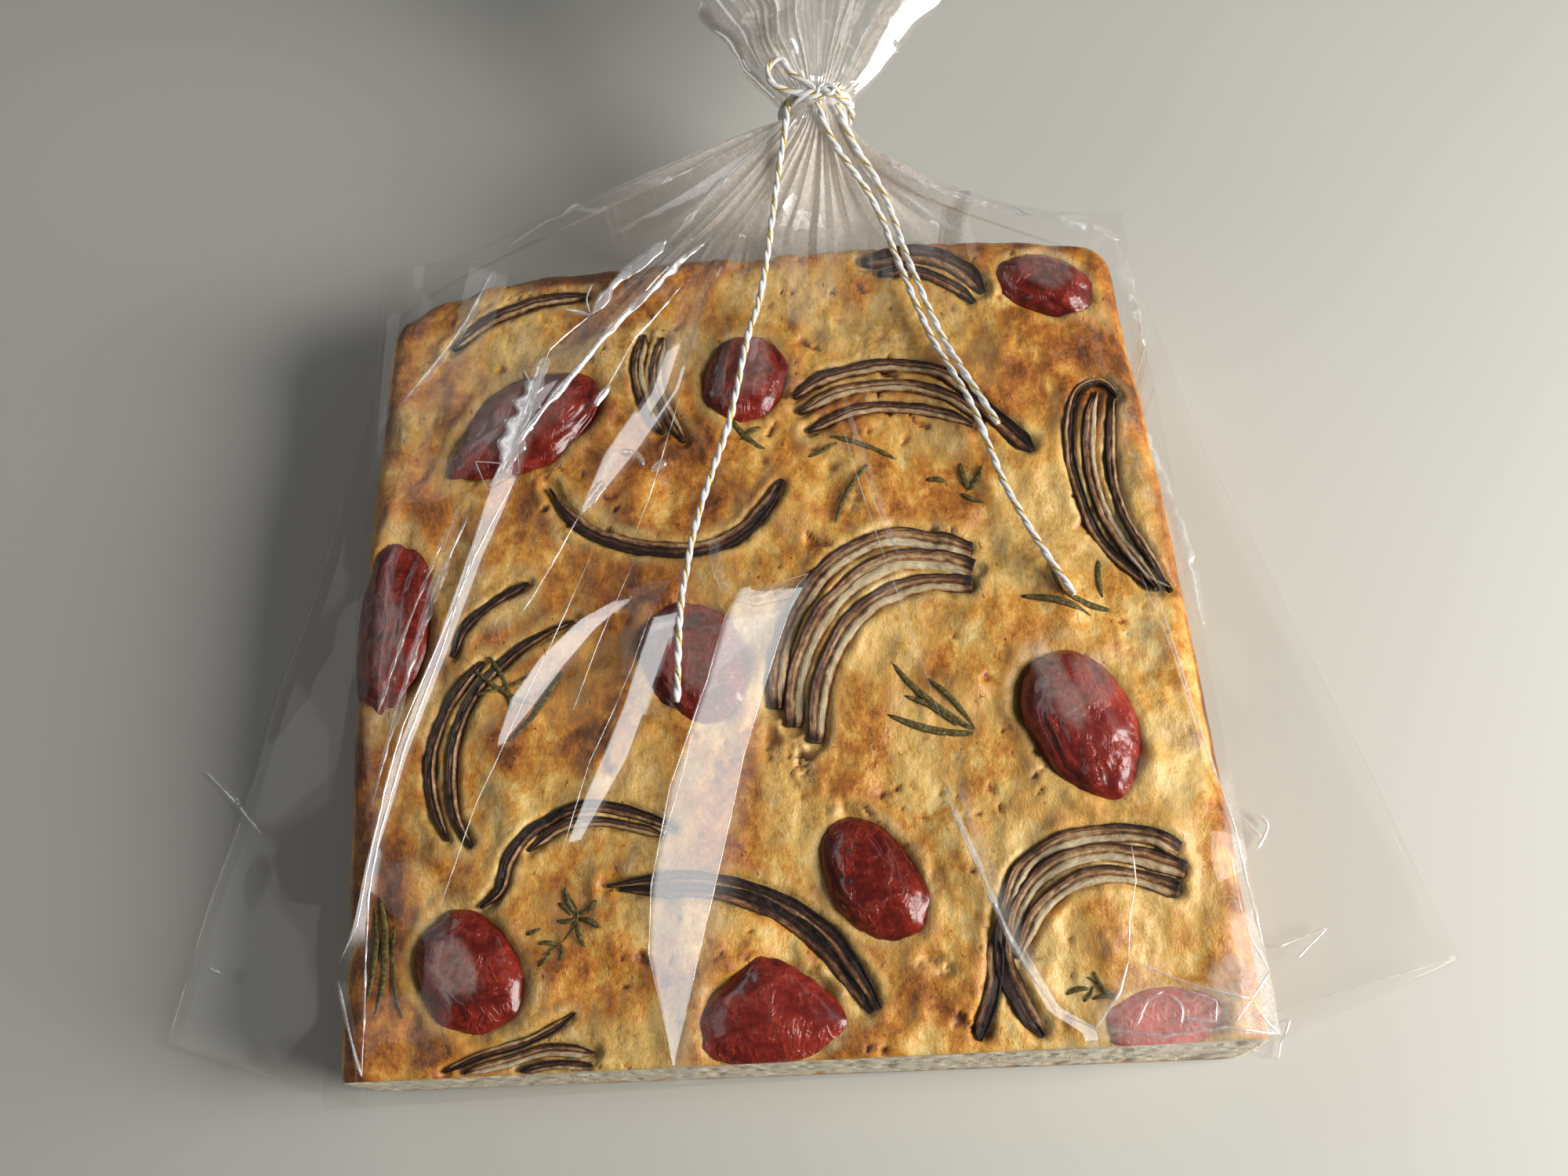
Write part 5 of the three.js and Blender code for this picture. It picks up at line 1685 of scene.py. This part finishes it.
def make_tail(name, points, white, golden):
    """One loose end of the twine: two white plies and a gold thread wound along its line."""
    plies, thread = Heap(), Heap()
    twist(points, plies, thread)
    piece = plies.piece(name.replace("twine", "tail"), "twine", white)
    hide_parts(name)
    gold = thread.piece(name.replace("twine", "gold"), "twine", golden)
    route = to_row(curve_points(points, 2.0))
    length_of(route)


def make_twine(white, golden):
    for name, points in TAILS.items():
        make_tail(name, points, white, golden)
    radius = NECK["radius"] + TWINE["gap"] + TWINE["diameter"] / 2
    turns = np.linspace(0, TWINE["turns"], 150)
    angle = 2 * math.pi * turns
    wrap_x = NECK["x"] + radius * np.cos(angle + 1.3)
    wrap_y = NECK["y"] + 0.9 * TWINE["diameter"] * (turns - TWINE["turns"] / 2)
    wrap_z = NECK["z"] + radius * np.sin(angle + 1.3)
    plies, thread = Heap(), Heap()
    for path in (stack(wrap_x, wrap_y, wrap_z), LOOP, *(np.array(KNOT) + strand for strand in KNOT_STRANDS)):
        twist(path, plies, thread)
    tie = plies.piece("tie", "twine", white)
    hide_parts("twine_tie")
    thread.piece("tie_gold", "twine", golden)


# ---------------------------------------------------------------- light and floor

def area_light(name, place, aim, size, power, colour=(1, 1, 1), only_gloss=False):
    """A soft rectangular light. Its second size runs along the loaf."""
    data = bpy.data.lights.new(name, "AREA")
    data.shape = "RECTANGLE"
    data.size, data.size_y = size
    data.energy = power
    data.color = colour
    light = bpy.data.objects.new(name, data)
    place, along = Vector(place), Vector((0, 1, 0))
    back = (place - Vector(aim)).normalized()
    up = (along - back * back.dot(along)).normalized()
    turn = Matrix((up.cross(back), up, back)).transposed()
    light.matrix_world = Matrix.Translation(place) @ turn.to_4x4()
    light.visible_camera = False
    light.visible_diffuse = not only_gloss
    bpy.context.scene.collection.objects.link(light)


def make_stage():
    """The floor, a soft window at the right, a faint fill, and two long lamps that the film mirrors."""
    size = 3.0
    corners = [(-size, -size, 0), (size, -size, 0), (size, size, 0), (-size, size, 0)]
    mesh = bpy.data.meshes.new("floor")
    mesh.from_pydata(corners, [], [(0, 1, 2, 3)])
    mesh.materials.append(floor_material())
    floor = bpy.data.objects.new("floor", mesh)
    floor.location.z = -0.0004
    bpy.context.scene.collection.objects.link(floor)
    world = bpy.data.worlds.new("studio")
    world.use_nodes = True
    sky = world.node_tree.nodes["Background"].inputs
    sky["Color"].default_value = srgb(226, 230, 234)
    sky["Strength"].default_value = 0.13
    bpy.context.scene.world = world
    area_light("window", (0.74, -0.26, 0.45), (0.02, 0.0, 0.03), (0.5, 0.45), 11.2, (1.0, 0.97, 0.93))
    area_light("fill", (-0.9, 0.5, 0.9), (0, 0, 0.02), (0.6, 0.6), 0.7, (0.98, 0.98, 1.0))
    area_light("strip_left", (-0.68, 0.4, 1.05), (0, 0.1, 0.04), (0.3, 1.9), 3.9, only_gloss=True)
    area_light("strip_right", (0.72, 0.3, 1.05), (0, 0.1, 0.04), (0.16, 1.6), 1.5, only_gloss=True)


# ---------------------------------------------------------------- assembly

make_camera()
make_twine(twine_material(), gold_material())
toppings = [make_loaf(crust_material())]
tomato_skin = tomato_material()
toppings += [make_tomato(number, tomato, tomato_skin) for number, tomato in enumerate(TOMATOES)]
toppings += [make_onions(onion_material()), make_herbs(herb_material())]
make_creases(make_film(film_material(), np.vstack(toppings)), crease_material())
make_stage()
bpy.context.scene.cycles.transparent_max_bounces = 40
bpy.context.scene.view_settings.view_transform = "Standard"
